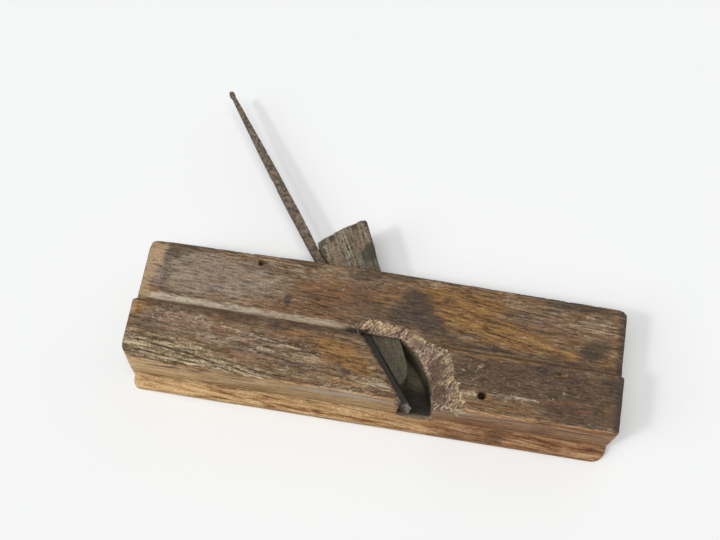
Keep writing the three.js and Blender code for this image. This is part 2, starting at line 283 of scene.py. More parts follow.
def fine_copy(node, name, skin_size):
    """A copy of a CAD node as one even skin of small faces."""
    mesh = frame["nodes"][node].data.copy()
    mesh.name = name
    body = bmesh.new()
    body.from_mesh(mesh)
    bmesh.ops.remove_doubles(body, verts=body.verts, dist=SAME_POINT)
    body.to_mesh(mesh)
    body.free()
    mesh.materials.clear()
    piece = bpy.data.objects.new(name, mesh)
    bpy.context.scene.collection.objects.link(piece)
    skin = piece.modifiers.new("skin", "REMESH")
    skin.mode = "VOXEL"
    skin.voxel_size = skin_size * MM
    graph = bpy.context.evaluated_depsgraph_get()
    finished = bpy.data.meshes.new_from_object(piece.evaluated_get(graph))
    piece.modifiers.clear()
    piece.data = finished
    finished.name = name
    shade_smooth(finished)
    return piece


def refine(mesh, wanted):
    """Halves the faces where a rule on the points asks for it."""
    body = bmesh.new()
    body.from_mesh(mesh)
    chosen = wanted(mesh_vectors(mesh, "co"), mesh_vectors(mesh, "normal"))
    edges = [edge for edge in body.edges if all(chosen[vert.index] for vert in edge.verts)]
    bmesh.ops.subdivide_edges(body, edges=edges, cuts=1, use_grid_fill=True)
    body.to_mesh(mesh)
    body.free()
    shade_smooth(mesh)


EDGE_ROUNDS = 2


def convexity(mesh, points):
    """How sharply the skin turns outwards: above nought on an edge, below it in a corner."""
    mean = neighbour_mean(mesh, points, EDGE_ROUNDS)
    return np.einsum("ij,ij->i", points - mean, mesh_vectors(mesh, "normal")) / MM


# Camera and light

CAMERA_AZIMUTH = math.radians(13.55)
CAMERA_ELEVATION = math.radians(69.41)
CAMERA_ROLL = math.radians(-4.10)
CAMERA_TARGET = Vector((-13.54, 34.15, 35.0)) * MM
CAMERA_DISTANCE = 600.3 * MM
CAMERA_LENS = 60.09


def place_camera():
    """The photograph's view, found from the stock's straight edges."""
    data = bpy.data.cameras.new("camera")
    data.lens = CAMERA_LENS
    camera = bpy.data.objects.new("camera", data)
    bpy.context.scene.collection.objects.link(camera)
    flat = math.cos(CAMERA_ELEVATION)
    back = Vector((
        math.sin(CAMERA_AZIMUTH) * flat,
        -math.cos(CAMERA_AZIMUTH) * flat,
        math.sin(CAMERA_ELEVATION),
    ))
    right = (-back).cross(Vector((0, 0, 1))).normalized()
    up = right.cross(-back)
    c, s = math.cos(CAMERA_ROLL), math.sin(CAMERA_ROLL)
    right, up = c * right + s * up, c * up - s * right
    turn = Matrix((right, up, back)).transposed().to_4x4()
    camera.matrix_world = Matrix.Translation(CAMERA_TARGET + back * CAMERA_DISTANCE) @ turn
    bpy.context.scene.camera = camera


# Each lamp's elevation, azimuth and width in degrees, and its share of the floor's light
LAMPS = {
    "ceiling": (81, 255, 38, 0.56),
    "window": (46, 212, 30, 0.11),
    "small_lamp": (57, 218, 7, 0.15),
    "far_wall": (56, 50, 70, 0.11),
}
SKY_SHARE = 0.09
BACKDROP_SHARE = 0.93
FLOOR_SIZE = 6.0


def place_lamp(name, elevation, azimuth, width, share):
    """A distant lamp that gives the floor its share of light."""
    data = bpy.data.lights.new(name, "SUN")
    data.angle = math.radians(width)
    rise, turn = math.radians(elevation), math.radians(azimuth)
    data.energy = share * math.pi / math.sin(rise)
    lamp = bpy.data.objects.new(name, data)
    bpy.context.scene.collection.objects.link(lamp)
    flat = math.cos(rise)
    direction = Vector((math.cos(turn) * flat, math.sin(turn) * flat, math.sin(rise)))
    lamp.location = direction
    lamp.rotation_mode = "QUATERNION"
    lamp.rotation_quaternion = direction.to_track_quat("Z", "Y")


def light_room():
    """A dim white sky that lights the object, and a bright one behind it and in its gloss."""
    world = bpy.data.worlds.new("studio")
    bpy.context.scene.world = world
    world.use_nodes = True
    tree = world.node_tree
    tree.nodes.clear()
    rays = add(tree, "ShaderNodeLightPath")
    seen = add(tree, "ShaderNodeMath", {"operation": "MAXIMUM"}, {
        0: rays.outputs["Is Camera Ray"], 1: rays.outputs["Is Glossy Ray"]})
    seen = add(tree, "ShaderNodeMath", {"operation": "MAXIMUM"}, {
        0: seen.outputs[0], 1: rays.outputs["Is Transmission Ray"]})
    strength = add(tree, "ShaderNodeMapRange", inputs={
        "Value": seen.outputs[0], "To Min": SKY_SHARE, "To Max": BACKDROP_SHARE})
    background = add(tree, "ShaderNodeBackground", inputs={
        "Color": (1, 1, 1, 1), "Strength": strength.outputs["Result"]})
    add(tree, "ShaderNodeOutputWorld", inputs={"Surface": background.outputs[0]})


def make_studio():
    """A pale floor under a broad light, with a window and a small lamp on the heel's side."""
    for name, (elevation, azimuth, width, share) in LAMPS.items():
        place_lamp(name, elevation, azimuth, width, share)
    light_room()
    bpy.ops.mesh.primitive_plane_add(size=FLOOR_SIZE)
    floor = bpy.context.object
    floor.name = "floor"
    floor.data.materials.append(paper_finish())


# Finishes

def new_material(name):
    """A material with an empty tree of nodes."""
    material = bpy.data.materials.new(name)
    material.use_nodes = True
    material.node_tree.nodes.clear()
    return material, material.node_tree


def add_shader(tree, inputs):
    """Ends a material with its shader and its output."""
    shader = add(tree, "ShaderNodeBsdfPrincipled", inputs=inputs)
    add(tree, "ShaderNodeOutputMaterial", inputs={"Surface": shader.outputs["BSDF"]})


PATTERN_ROUGHNESS = 0.65


def make_patterns(tree, table):
    """Noise in Object coordinates, turned and stretched along the grain, for each row of a table."""
    patterns = {}
    place = add(tree, "ShaderNodeTexCoord")
    for name, (turn, cells, detail, distortion) in table.items():
        turned = add(tree, "ShaderNodeMapping", inputs={
            "Vector": place.outputs["Object"], "Rotation": (0, 0, math.radians(turn))})
        stretched = add(tree, "ShaderNodeMapping", inputs={
            "Vector": turned.outputs[0], "Scale": tuple(1 / (cell * MM) for cell in cells)})
        patterns[name] = add(tree, "ShaderNodeTexNoise", inputs={
            "Vector": stretched.outputs[0], "Scale": 1.0, "Detail": detail,
            "Roughness": PATTERN_ROUGHNESS, "Distortion": distortion}).outputs["Fac"]
    return patterns


def weighted(tree, parts):
    """A sum of patterns, each with its weight."""
    total = 0.0
    for socket, weight in parts:
        total = add(tree, "ShaderNodeMath", {"operation": "MULTIPLY_ADD"}, {
            0: socket, 1: weight, 2: total}).outputs[0]
    return total


def mixed(tree, patterns, weights):
    """A sum of named patterns, each with its weight."""
    return weighted(tree, [(patterns[name], weight) for name, weight in weights.items()])


def shades(tree, patterns, ramp):
    """Colours picked along a sum of patterns."""
    weights, stops = ramp
    grain = mixed(tree, patterns, weights)
    return add(tree, "ShaderNodeValToRGB", inputs={"Fac": grain}, stops=stops).outputs[0]


def lay_where(tree, under, over, value, start, full, strength, gate=1.0):
    """A colour laid over another where a value is high, as far as the gate is open."""
    over = over if isinstance(over, bpy.types.NodeSocket) else colour(over)
    share = add(tree, "ShaderNodeMapRange", inputs={
        "Value": value, "From Min": start, "From Max": full, "To Max": strength})
    share = add(tree, "ShaderNodeMath", {"operation": "MULTIPLY"}, {0: share.outputs[0], 1: gate})
    return add(tree, "ShaderNodeMix", {"data_type": "RGBA"}, {
        0: share.outputs[0], 6: under, 7: over}).outputs[2]


# A layer ends where its share is nought, and is free to break up above this share
GATE_OPEN = 0.12


def lay_layers(tree, paint, patterns, ramps, layers):
    """Lays colours or ramps one over another, each where its share, broken up by a pattern, is high."""
    for over, share_name, breaker, amount, start, full, strength in layers:
        if over in ramps:
            over = shades(tree, patterns, ramps[over])
        share = add(tree, "ShaderNodeAttribute", {"attribute_name": share_name}).outputs["Fac"]
        broken = weighted(tree, [(patterns[breaker], amount), (share, 1.0)])
        gate = add(tree, "ShaderNodeMapRange", inputs={"Value": share, "From Max": GATE_OPEN})
        paint = lay_where(tree, paint, over, broken, start + amount / 2, full + amount / 2,
                          strength, gate.outputs[0])
    return paint


# Between these values of the finest pattern the paint goes from its darkest to its lightest
SPECKLE_SPAN = (0.30, 0.70)


def speckled(tree, paint, motes, darkest, lightest):
    """A colour darkened and lightened by fine specks."""
    low, high = SPECKLE_SPAN
    factor = add(tree, "ShaderNodeMapRange", inputs={
        "Value": motes, "From Min": low, "From Max": high, "To Min": darkest, "To Max": lightest})
    return add(tree, "ShaderNodeVectorMath", {"operation": "SCALE"}, {
        0: paint, "Scale": factor.outputs[0]}).outputs[0]


def roughened(tree, patterns, weights, strength, depth):
    """Fine relief from a sum of patterns, so many millimetres deep."""
    return add(tree, "ShaderNodeBump", inputs={
        "Height": mixed(tree, patterns, weights), "Strength": strength, "Distance": depth * MM,
    }).outputs[0]


def paper_finish():
    """White paper, matt: it shows soft shadows and no gloss."""
    material, tree = new_material("matt_paper")
    add_shader(tree, {"Base Color": colour("#f3f4f4"), "Roughness": 0.9, "Specular IOR Level": 0.1})
    return material


# Each pattern's turn in degrees, its cells along, across and through the grain in millimetres,
# its detail and its distortion. The cells were set against the photograph. The streaks
# are about as wide as oak's rings. Real pores are a few tenths of a millimetre wide: threads,
# hairs and dashes are drawn several times as wide, so that they show
OAK_PATTERNS = {
    "streaks": (2.5, (22, 1.6, 1.6), 5.0, 0.6),
    "threads": (2.5, (7, 0.9, 0.9), 3.0, 0.4),
    "hairs": (2.5, (3.6, 0.75, 0.75), 2.0, 0.4),
    "dashes": (2.5, (6, 1.0, 1.0), 2.0, 0.4),
    "flecks": (0, (2.6, 0.9, 0.9), 3.0, 1.2),
    "motes": (0, (1.1, 1.1, 1.1), 3.0, 0.4),
    "clouds": (2.5, (22, 9, 9), 4.0, 0.4),
    "reds": (2.5, (8, 1.9, 1.9), 4.0, 0.4),
    "slates": (2.5, (7, 1.7, 1.7), 4.0, 0.4),
    "figure": (9, (28, 1.5, 1.5), 3.0, 0.8),
    "fans": (-52, (8, 1.1, 1.6), 3.0, 1.4),
}
CLEAN_GRAIN = {"streaks": 0.75, "threads": 0.17, "hairs": 0.08}
# The weights of the patterns in each ramp, and its colours
OAK_RAMPS = {
    "oiled": ({"streaks": 0.34, "threads": 0.30, "hairs": 0.22, "clouds": 0.14}, [
        (0.40, "#35281c"), (0.455, "#57432e"), (0.515, "#775f45"), (0.59, "#a08b6e")]),
    "ochre": ({"figure": 0.45, "threads": 0.35, "hairs": 0.2}, [
        (0.38, "#3c2b1b"), (0.445, "#6c4c2a"), (0.52, "#8b6538"), (0.60, "#a5824f")]),
    "clean": (CLEAN_GRAIN, [
        (0.40, "#704c30"), (0.455, "#9a754b"), (0.51, "#b49265"), (0.58, "#c9ae83")]),
    "red_clean": (CLEAN_GRAIN, [
        (0.40, "#4b3323"), (0.46, "#775236"), (0.52, "#936a46"), (0.60, "#b0916c")]),
    "ridges": ({"threads": 0.45, "hairs": 0.3, "motes": 0.25}, [
        (0.40, "#57432e"), (0.47, "#8f7a5c"), (0.53, "#ae9b7c"), (0.60, "#cbbc9d")]),
    "strands": ({"fans": 0.9, "motes": 0.1}, [
        (0.38, "#3c2d25"), (0.45, "#654f41"), (0.52, "#8d7563"), (0.61, "#bba690")]),
    "crumbs": ({"fans": 0.65, "motes": 0.35}, [
        (0.38, "#5d4c39"), (0.46, "#8d7656"), (0.54, "#ad966f"), (0.63, "#cdbb94")]),
}
# Colours that drift over the whole stock: colour, pattern, where it starts and is full, and strength
OAK_DRIFTS = [
    ("#855830", "reds", 0.50, 0.64, 0.5),
    ("#544f49", "slates", 0.54, 0.66, 0.40),
]
# The layers from the lowest up: colour or ramp, share, the pattern that breaks it up and by how much,
# the share where it starts and is full, and its strength
OAK_LAYERS = [
    # Grey patches, the hidden faces, and painted shade, greyed as by bounced light, on the fence's
    # underside
    ("#a39789", "greyed", "threads", 1.8, 0.2, 1.1, 0.62),
    ("#7f4a30", "reddened", "threads", 3.0, 0.35, 0.9, 0.55),
    ("#40322a", "darkened", "streaks", 2.5, 0.3, 1.0, 0.70),
    ("ochre", "ochre", "streaks", 3.6, 0.3, 1.0, 0.92),
    ("clean", "clean", "threads", 0.6, 0.3, 0.6, 1.0),
    ("red_clean", "red_clean", "streaks", 2.4, 0.3, 0.9, 1.0),
    ("#dcb988", "sole_pale", "streaks", 2.2, 0.1, 0.9, 0.85),
    ("#ab9d8c", "sole_greyed", "streaks", 2.0, 0.3, 0.9, 0.75),
    ("#ad9170", "tan", "streaks", 3.4, 0.1, 1.0, 0.85),
    # Pale dust and a painted highlight in the cove under the grip
    ("#cdbfa8", "cove_dust_and_highlight", "threads", 0.9, 0.1, 1.05, 0.88),
    ("#bbac94", "dust", "flecks", 4.2, 0.4, 1.3, 0.8),
    # Stains, dirt on the arrises, and painted shade on the toe's edge, on the riser and in the cove
    # under the step
    ("#38302a", "stains_and_shade", "hairs", 2.2, 0.25, 1.0, 0.86),
    ("ridges", "eroded", "streaks", 4.2, 0.3, 1.1, 0.88),
    ("#bdb09b", "scuffed", "flecks", 5.0, 1.0, 1.7, 0.85),
    ("strands", "torn", "motes", 1.6, 0.3, 0.6, 1.0),
    ("crumbs", "pale_fibre", "fans", 3.0, 0.35, 0.9, 0.95),
    ("#4d352a", "torn_heart", "fans", 2.4, 0.3, 1.1, 0.8),
    # Grime with painted shade in the throat and the mortise
    ("#74684f", "grime_and_shade", "fans", 1.6, 0.0, 0.4, 0.9),
    # Painted shade deep in the throat and the mortise, in the splits and in the holes
    ("#231f18", "painted_deep_shade", "motes", 0.8, 0.3, 0.8, 0.95),
    # Thin dark lines, and painted shade in the groove beside the fence
    ("#2c2218", "dark_line", "threads", 2.0, 0.3, 0.9, 0.85),
    ("#c6b89f", "pale_line", "threads", 2.0, 0.3, 0.9, 0.85),
]
# The pores: the dashes' values from their middle to their end, how dark and how light the wood
# is there, how light filled pores may get, and how far clean and torn wood fill them
PORE_SPAN = (0.36, 0.47)
PORE_SHADES = (0.52, 1.03)
PORE_LIGHTEST = 1.05
PORES_FILLED = {"clean": 0.35, "torn": 0.5}


def pored(tree, paint, dashes):
    """Oak's short dark pores, fewer where the wood was planed clean or is torn."""
    (low, high), (dark, light) = PORE_SPAN, PORE_SHADES
    pores = add(tree, "ShaderNodeMapRange", inputs={
        "Value": dashes, "From Min": low, "From Max": high, "To Min": dark, "To Max": light})
    parts = [(pores.outputs[0], 1.0)]
    for name, filled in PORES_FILLED.items():
        parts.append((add(tree, "ShaderNodeAttribute", {"attribute_name": name}).outputs["Fac"], filled))
    shade = add(tree, "ShaderNodeMath", {"operation": "MINIMUM"}, {
        0: weighted(tree, parts), 1: PORE_LIGHTEST})
    return add(tree, "ShaderNodeVectorMath", {"operation": "SCALE"}, {
        0: paint, "Scale": shade.outputs[0]}).outputs[0]


def stock_finish():
    """Holm oak, planed and oiled long ago, then dried out: brown, streaked and dull."""
    material, tree = new_material("dried_holm_oak")
    patterns = make_patterns(tree, OAK_PATTERNS)
    paint = shades(tree, patterns, OAK_RAMPS["oiled"])
    for over, name, start, full, strength in OAK_DRIFTS:
        paint = lay_where(tree, paint, over, patterns[name], start, full, strength)
    paint = lay_layers(tree, paint, patterns, OAK_RAMPS, OAK_LAYERS)
    specked = add(tree, "ShaderNodeAttribute", {"attribute_name": "specked"}).outputs["Fac"]
    paint = lay_where(tree, paint, "#b9ab95", patterns["flecks"],
                      start=0.62, full=0.74, strength=0.5, gate=specked)
    paint = pored(tree, paint, patterns["dashes"])
    paint = speckled(tree, paint, patterns["motes"], darkest=0.72, lightest=1.28)
    relief = roughened(tree, patterns, {"dashes": 0.8, "threads": 0.5, "motes": 0.5},
                       strength=0.6, depth=0.35)
    add_shader(tree, {
        "Base Color": paint, "Roughness": 0.8, "Specular IOR Level": 0.3, "Normal": relief})
    return material


# As on the stock, the threads are drawn wider than real pores, so that they show
WEDGE_PATTERNS = {
    "streaks": (-118, (14, 1.3, 1.3), 4.0, 0.4),
    "threads": (-118, (6, 0.9, 0.9), 3.0, 0.4),
    "motes": (0, (1.2, 1.2, 1.2), 3.0, 0.4),
    "clouds": (-118, (14, 6, 6), 3.0, 0.4),
}
WEDGE_RAMP = ({"streaks": 0.35, "threads": 0.4, "motes": 0.25}, [
    (0.40, "#3c342a"), (0.47, "#62584a"), (0.53, "#7e7362"), (0.60, "#978c78")])
WEDGE_LAYERS = [
    # Darker patches, and painted shade on the crown and on the upper edges
    ("#3a3a30", "stains_and_shade", "motes", 1.4, 0.3, 0.9, 0.88),
    # Painted shade with grime on the wedge inside the mortise
    ("#4f4a3d", "grime_and_shade", "threads", 2.6, 0.2, 0.9, 0.85),
]


def wedge_finish():
    """Oak split for a wedge and never oiled: grey-brown, streaked along its length."""
    material, tree = new_material("weathered_oak_wedge")
    patterns = make_patterns(tree, WEDGE_PATTERNS)
    paint = shades(tree, patterns, WEDGE_RAMP)
    paint = lay_where(tree, paint, "#7a6450", patterns["clouds"], start=0.5, full=0.62, strength=0.6)
    paint = lay_layers(tree, paint, patterns, {}, WEDGE_LAYERS)
    paint = speckled(tree, paint, patterns["motes"], darkest=0.72, lightest=1.28)
    relief = roughened(tree, patterns, {"streaks": 1.0, "threads": 0.8, "motes": 0.5},
                       strength=0.6, depth=0.5)
    add_shader(tree, {
        "Base Color": paint, "Roughness": 0.85, "Specular IOR Level": 0.25, "Normal": relief})
    return material


# Real grains of rust are far finer, and are drawn 1.8 mm wide, so that they show
IRON_PATTERNS = {
    "rust": (0, (1.8, 1.8, 1.8), 5.0, 0.4),
    "flakes": (0, (6, 6, 6), 4.0, 0.4),
}
RUST_RAMP = ({"rust": 1.0}, [
    (0.36, "#2e2721"), (0.45, "#4c4035"), (0.54, "#665a4c"), (0.66, "#897d6f")])
IRON_LAYERS = [
    # Painted shade with grime on the iron inside the throat
    ("#2b2721", "grime_and_shade", "rust", 0.6, 0.2, 0.8, 0.9),
    ("#a6968a", "bare", "rust", 4.0, 0.3, 1.0, 0.9),
]


def iron_finish():
    """Forged iron under dry brown rust: dull and pitted, with ochre flakes and hardly any gloss."""
    material, tree = new_material("rusted_wrought_iron")
    patterns = make_patterns(tree, IRON_PATTERNS)
    paint = shades(tree, patterns, RUST_RAMP)
    paint = lay_where(tree, paint, "#806748", patterns["flakes"], start=0.50, full=0.68, strength=0.6)
    paint = lay_layers(tree, paint, patterns, {}, IRON_LAYERS)
    relief = roughened(tree, patterns, {"rust": 1.0}, strength=0.8, depth=0.6)
    add_shader(tree, {"Base Color": paint, "Metallic": 0.2, "Roughness": 0.75, "Normal": relief})
    return material


FIBRE_PATTERNS = {"motes": (0, (1.1, 1.1, 1.1), 2.0, 0.4)}
FIBRE_SHADES = [(0.0, "#655043"), (0.4, "#907766"), (0.7, "#b09a82"), (1.0, "#d2c4a6")]


def fibre_finish():
    """Torn ends of oak fibres, never oiled: each one pinkish brown, tan or pale."""
    material, tree = new_material("torn_oak_fibres")
    patterns = make_patterns(tree, FIBRE_PATTERNS)
    tint = add(tree, "ShaderNodeAttribute", {"attribute_name": "tint"}).outputs["Fac"]
    paint = add(tree, "ShaderNodeValToRGB", inputs={"Fac": tint}, stops=FIBRE_SHADES).outputs[0]
    paint = speckled(tree, paint, patterns["motes"], darkest=0.7, lightest=1.2)
    add_shader(tree, {"Base Color": paint, "Roughness": 0.85, "Specular IOR Level": 0.2})
    return material


# Marks on the stock's open side: millimetres from the heel and below the top corners,
# then the radii, the lean and the strength

STAINS = [
    ((138, 12), (9, 6.5), 0.4, 1.0), ((143, 21), (11, 6), 0.45, 1.0),
    ((131, 20), (8, 7), 0.0, 0.85), ((118, 19), (12, 7), 0.1, 0.45),
    ((226, 23), (7, 4.5), -0.3, 1.0), ((230, 19), (4, 4), 0.0, 0.7), ((13, 5), (5, 5), -0.2, 0.75),
    ((10, 15), (3.6, 9), -0.2, 0.65), ((23, 1.0), (12, 1.8), 0.0, 0.75),
    ((110, 2.5), (9, 3), 0.0, 0.75), ((127, 0.2), (11, 1.5), 0.0, 0.7),
    ((216, 1.4), (23, 2.4), 0.02, 0.85), ((107, 16), (3, 2), 0.0, 0.6),
    ((37, 21.5), (3, 1.6), 0.0, 0.45), ((100, 22), (9, 4), 0.0, 0.4),
    ((73, 21.5), (2.6, 2.6), 0.4, 1.2), ((74, 37.5), (2.2, 1.6), 0.0, 0.9),
    ((53, 52.5), (8, 2.0), 0.1, 0.7), ((201, 40), (2.6, 2.2), 0.0, 0.95),
    ((201, 47), (1.4, 1.5), 0.0, 0.8), ((236, 41), (3.2, 4.5), 0.0, 0.9),
    ((230, 54.5), (3.2, 0.8), 0.0, 0.9), ((109, 55), (2.6, 1.3), 0.3, 0.9),
    ((16, 48), (10, 2), 0.05, 0.45), ((85, 56.5), (8, 1.0), 0.14, 0.6),
    # Next: the two long thin marks at 30 and 31 mm down are painted shade in the cove under the step
    ((176, 30.2), (20, 1.3), 0.01, 1.0), ((215, 31), (34, 1.0), 0.01, 0.75),
    ((60, 7), (12, 2.5), 0.05, 0.3), ((86, 17), (9, 2.2), 0.05, 0.4),
    ((154, 26.5), (9, 2.6), 0.2, 0.8), ((57.6, 3.4), (2.1, 1.7), 0.0, 1.6),
    # Next: the long thin mark at 36 mm down is painted shade along the step's arris
    ((190, 12), (7, 5), 0.0, 0.45), ((90, 36), (26, 1.2), 0.02, 0.5), ((150, 62), (4, 3), 0.0, 0.5),
]
OCHRES = [
    ((159, 7.5), (23, 6), 0.06, 1.1), ((172, 17.5), (29, 5.5), 0.14, 1.0),
    ((186, 23.5), (27, 4), 0.1, 0.95), ((208, 26.5), (12, 2.8), 0.05, 1.0),
    ((136, 7), (5, 4), 0.0, 0.55), ((88, 12), (14, 8), 0.0, 0.42), ((165, 1.0), (15, 2), 0.0, 0.6),
    ((122, 12), (6, 8), 0.0, 0.5), ((103, 46), (12, 6), 0.1, 1.0), ((112, 51), (9, 4), 0.1, 0.9),
    ((4, 39), (5, 6), 0.0, 0.9), ((176, 36), (22, 2.5), 0.0, 0.55), ((83, 39), (8, 2.5), 0.05, 0.5),
    ((178, 56.6), (2.2, 2.0), 0.0, 0.9), ((211, 41), (2.8, 1.2), 0.0, 1.0),
    ((186, 62), (27, 3), 0.0, 0.5), ((40, 11), (18, 6), 0.0, 0.3), ((112, 60), (9, 3), 0.1, 0.45),
]
REDS = [
    ((48, 45), (6, 2), 0.0, 0.6), ((78, 40), (10, 2.5), 0.0, 0.6), ((215, 55), (15, 3), 0.03, 0.6),
    ((98, 14), (22, 9), 0.0, 0.5), ((60, 56), (12, 2), 0.1, 0.5), ((112, 62), (13, 2), 0.1, 0.6),
    ((195, 44), (40, 8), 0.0, 0.25), ((30, 43), (30, 6), 0.05, 0.45),
    ((205, 16), (20, 6), 0.0, 0.4), ((80, 24), (24, 3), 0.0, 0.5),
]
GREYS = [
    ((30, 14), (42, 12), 0.0, 0.85), ((90, 5), (40, 4), 0.0, 0.4), ((212, 11), (30, 6), 0.0, 0.35),
    ((22, 44), (24, 8), 0.0, 0.45), ((60, 50), (40, 6), 0.1, 0.35),
]
DARKS = [
    ((200, 46), (56, 10), 0.0, 1.0), ((165, 46), (14, 9), 0.0, 0.7),
    # Next: the long thin mark at 36.8 mm down is painted shade along the step's arris
    ((70, 36.8), (76, 1.6), 0.0, 0.8), ((120, 14), (30, 12), 0.0, 0.45),
    ((222, 58), (24, 6), 0.0, 0.9), ((75, 42), (40, 5), 0.05, 0.4),
]
DUSTS = [
    ((68, 13.7), (5, 0.7), -0.08, 0.8), ((101, 10.5), (1.6, 0.6), -0.2, 0.8),
    ((41, 48.5), (5, 1.3), -0.1, 0.95), ((55, 47.5), (5, 1.2), -0.15, 0.85),
    ((67, 50.5), (6, 1.2), 0.03, 0.95), ((91, 51), (3.5, 1.6), 0.0, 0.6),
    ((120, 51), (3, 1.0), 0.1, 0.9), ((121, 57.5), (6, 1.6), 0.06, 0.8),
    ((128, 59.5), (4, 1.4), 0.1, 0.8), ((168, 56), (5, 1.0), 0.0, 1.05),
    ((190, 54.6), (12, 0.5), 0.02, 0.9), ((173, 41), (1.4, 2.6), 0.0, 0.65),
    ((164, 45), (2, 0.8), 0.0, 0.7), ((166, 51.7), (6, 0.5), 0.0, 0.7),
    ((146.5, 1.5), (4, 1.6), -0.2, 0.7), ((115, 63.5), (14, 1.4), 0.08, 0.55),
    ((192, 21.5), (1.0, 0.7), 0.0, 1.1), ((81, 60), (0.8, 1.6), 0.0, 0.8),
]
SCUFFS = [
    ((28, 42), (24, 7), 0.05, 0.85), ((65, 47), (42, 7), 0.1, 0.6), ((85, 58), (30, 5), 0.13, 0.6),
    ((115, 60), (14, 4), 0.1, 0.8), ((172, 47), (16, 9), 0.0, 0.55),
    ((200, 50), (40, 9), 0.0, 0.42), ((45, 8), (30, 7), 0.0, 0.42), ((228, 11), (11, 6), 0.0, 0.45),
    ((100, 9), (26, 7), 0.0, 0.3),
]
# The nail and worm holes, painted black inside as shade
HOLES = [
    ((56.8, 3.6), (1.5, 1.5), 0.0, 1.0), ((174.6, 56.4), (1.9, 1.9), 0.0, 1.0),
    ((209.4, 40.3), (0.9, 0.9), 0.0, 1.0),
]
# The torn wood's dark hearts and its pale crumbs
TORN_HEARTS = [
    ((151, 47), (3.6, 7), 0.15, 0.9), ((155, 56), (2.6, 5), -0.15, 1.0),
    ((142, 33), (5, 2), 0.4, 0.6),
]
CRUMBS = [
    ((163, 58.5), (4.2, 6), 0.5, 1.0), ((120, 27.0), (9, 2.6), 0.05, 0.95),
    ((134, 30), (6, 1.6), 0.35, 0.7), ((157.5, 46), (2.2, 9), -0.1, 0.9),
    ((153, 52.2), (3.5, 0.9), -0.1, 0.9), ((151.8, 59), (1.0, 4), -0.1, 0.6),
    ((149, 38), (5, 2.2), -0.6, 0.5),
]
# Thin lines on the open side: both ends, half the width and the strength
DARK_LINES = [
    ((62, 52), (92, 56), 0.35, 0.9), ((90, 55.8), (121, 60), 0.3, 0.75),
    ((12, 56), (32, 58.3), 0.5, 1.0), ((30, 58), (49, 61.3), 0.5, 1.0),
    ((13, 53), (26, 54.3), 0.4, 0.95), ((5, 60), (22, 61.3), 0.35, 0.9),
    ((20, 61.2), (37, 62.6), 0.35, 0.9), ((3, 64), (30, 64.8), 0.4, 0.8),
    ((28, 64.6), (62, 65.4), 0.3, 0.6), ((44, 57.3), (76, 63), 0.35, 0.75),
    ((148, 14), (178, 18.5), 0.3, 0.8), ((163, 13), (200, 20.5), 0.3, 0.8),
    ((155, 22), (182, 29), 0.35, 0.85), ((172, 21), (196, 25.5), 0.35, 0.9),
    ((186, 9), (206, 13), 0.3, 0.6), ((158, 19), (172, 22.5), 0.3, 0.7),
    ((76, 1.3), (86, 1.6), 0.4, 1.1), ((95, 39.6), (119, 41.4), 0.35, 0.7),
    ((70, 60.4), (98, 63.6), 0.3, 0.6), ((40, 42), (58, 44), 0.25, 0.5),
    ((160, 49), (176, 50), 0.3, 0.5),
]
PALE_LINES = [
    ((44, 42), (86, 48), 0.3, 0.95), ((20, 44.5), (34, 46), 0.25, 0.6),
    ((56, 50), (66, 53), 0.25, 0.8), ((46, 61.8), (72, 65), 0.3, 0.8),
    ((178, 53.8), (202, 55.2), 0.25, 0.8), ((112, 58.5), (126, 60.5), 0.3, 0.8),
    ((158, 63), (170, 66), 0.35, 0.8), ((212, 8.5), (236, 10), 0.25, 0.6),
    ((216, 12), (238, 13), 0.25, 0.6),
]
# A split at the throat's upper corner, and a small hole beside it, carved and painted black as shade
SPLITS = [
    ((104.5, 31.3), (121, 30.8), 1.5, 1.0), ((105.0, 36.2), (107.4, 36.4), 0.8, 1.0),
]
# The sole's marks run from the heel and up from the blind side
SOLE_GREYS = [
    ((108, 38), (28, 8), 0.0, 0.9), ((55, 24), (10, 5), 0.0, 0.6), ((180, 38), (40, 6), 0.0, 0.45),
]
SOLE_LINES = [
    ((2, 9), (60, 10.5), 0.8, 0.8), ((60, 10.5), (120, 9.5), 0.6, 0.5),
    ((150, 4), (190, 6), 1.2, 0.7), ((70, 22), (110, 19), 0.8, 0.5), ((8, 30), (40, 27), 0.8, 0.35),
    ((158, 24), (215, 22), 0.8, 0.6), ((60, 4), (130, 3), 0.7, 0.5),
    ((180, 32), (225, 30), 0.8, 0.4),
]
# Where the sole is frayed behind the mouth, from the heel and up from the blind side
FRAYED_MOUTH = ((137.0, 38.5), (3.2, 8.5), 0.0, 1.2)
# Where the fence is chipped under the mouth, from the heel and below the top corners
CHIPPED = ((147, 68), (4.5, 4), 0.0, 0.2)

# Outlines of the throat, of the mortise and of the torn wood round the throat
ESCAPEMENT = [
    (111.0, 31.0), (115.2, 36.3), (122.1, 44.9), (128.4, 53.1), (138.0, 66.0), (152.5, 66.0),
    (151.9, 63.3), (150.9, 53.4), (145.0, 43.3), (141.1, 37.2), (132.0, 31.0),
]
MORTISE = [(84, -8), (137, 62), (154, 80), (122, -8)]
TORN = [
    (107.0, 30.0), (112.0, 26.0), (118.0, 24.2), (125.0, 24.4), (133.0, 26.8), (145.0, 31.6),
    (155.5, 35.0), (158.8, 42.0), (160.8, 50.0), (165.8, 58.0), (168.0, 63.0), (164.0, 64.8),
    (152.0, 66.0), (150.9, 53.4), (145.0, 43.3), (141.1, 37.2), (132.0, 31.0), (111.0, 31.0),
]
# The torn wood's outer rim, and its inner lip at the throat
RIM = TORN[:12]
THROAT_LIP = TORN[12:]
# The centre that its fibres fan out from, and the radius that their width is measured at
TORN_CENTRE = (136.0, 52.0)
TORN_TURN_SIZE = 26.0


# The stock's wear

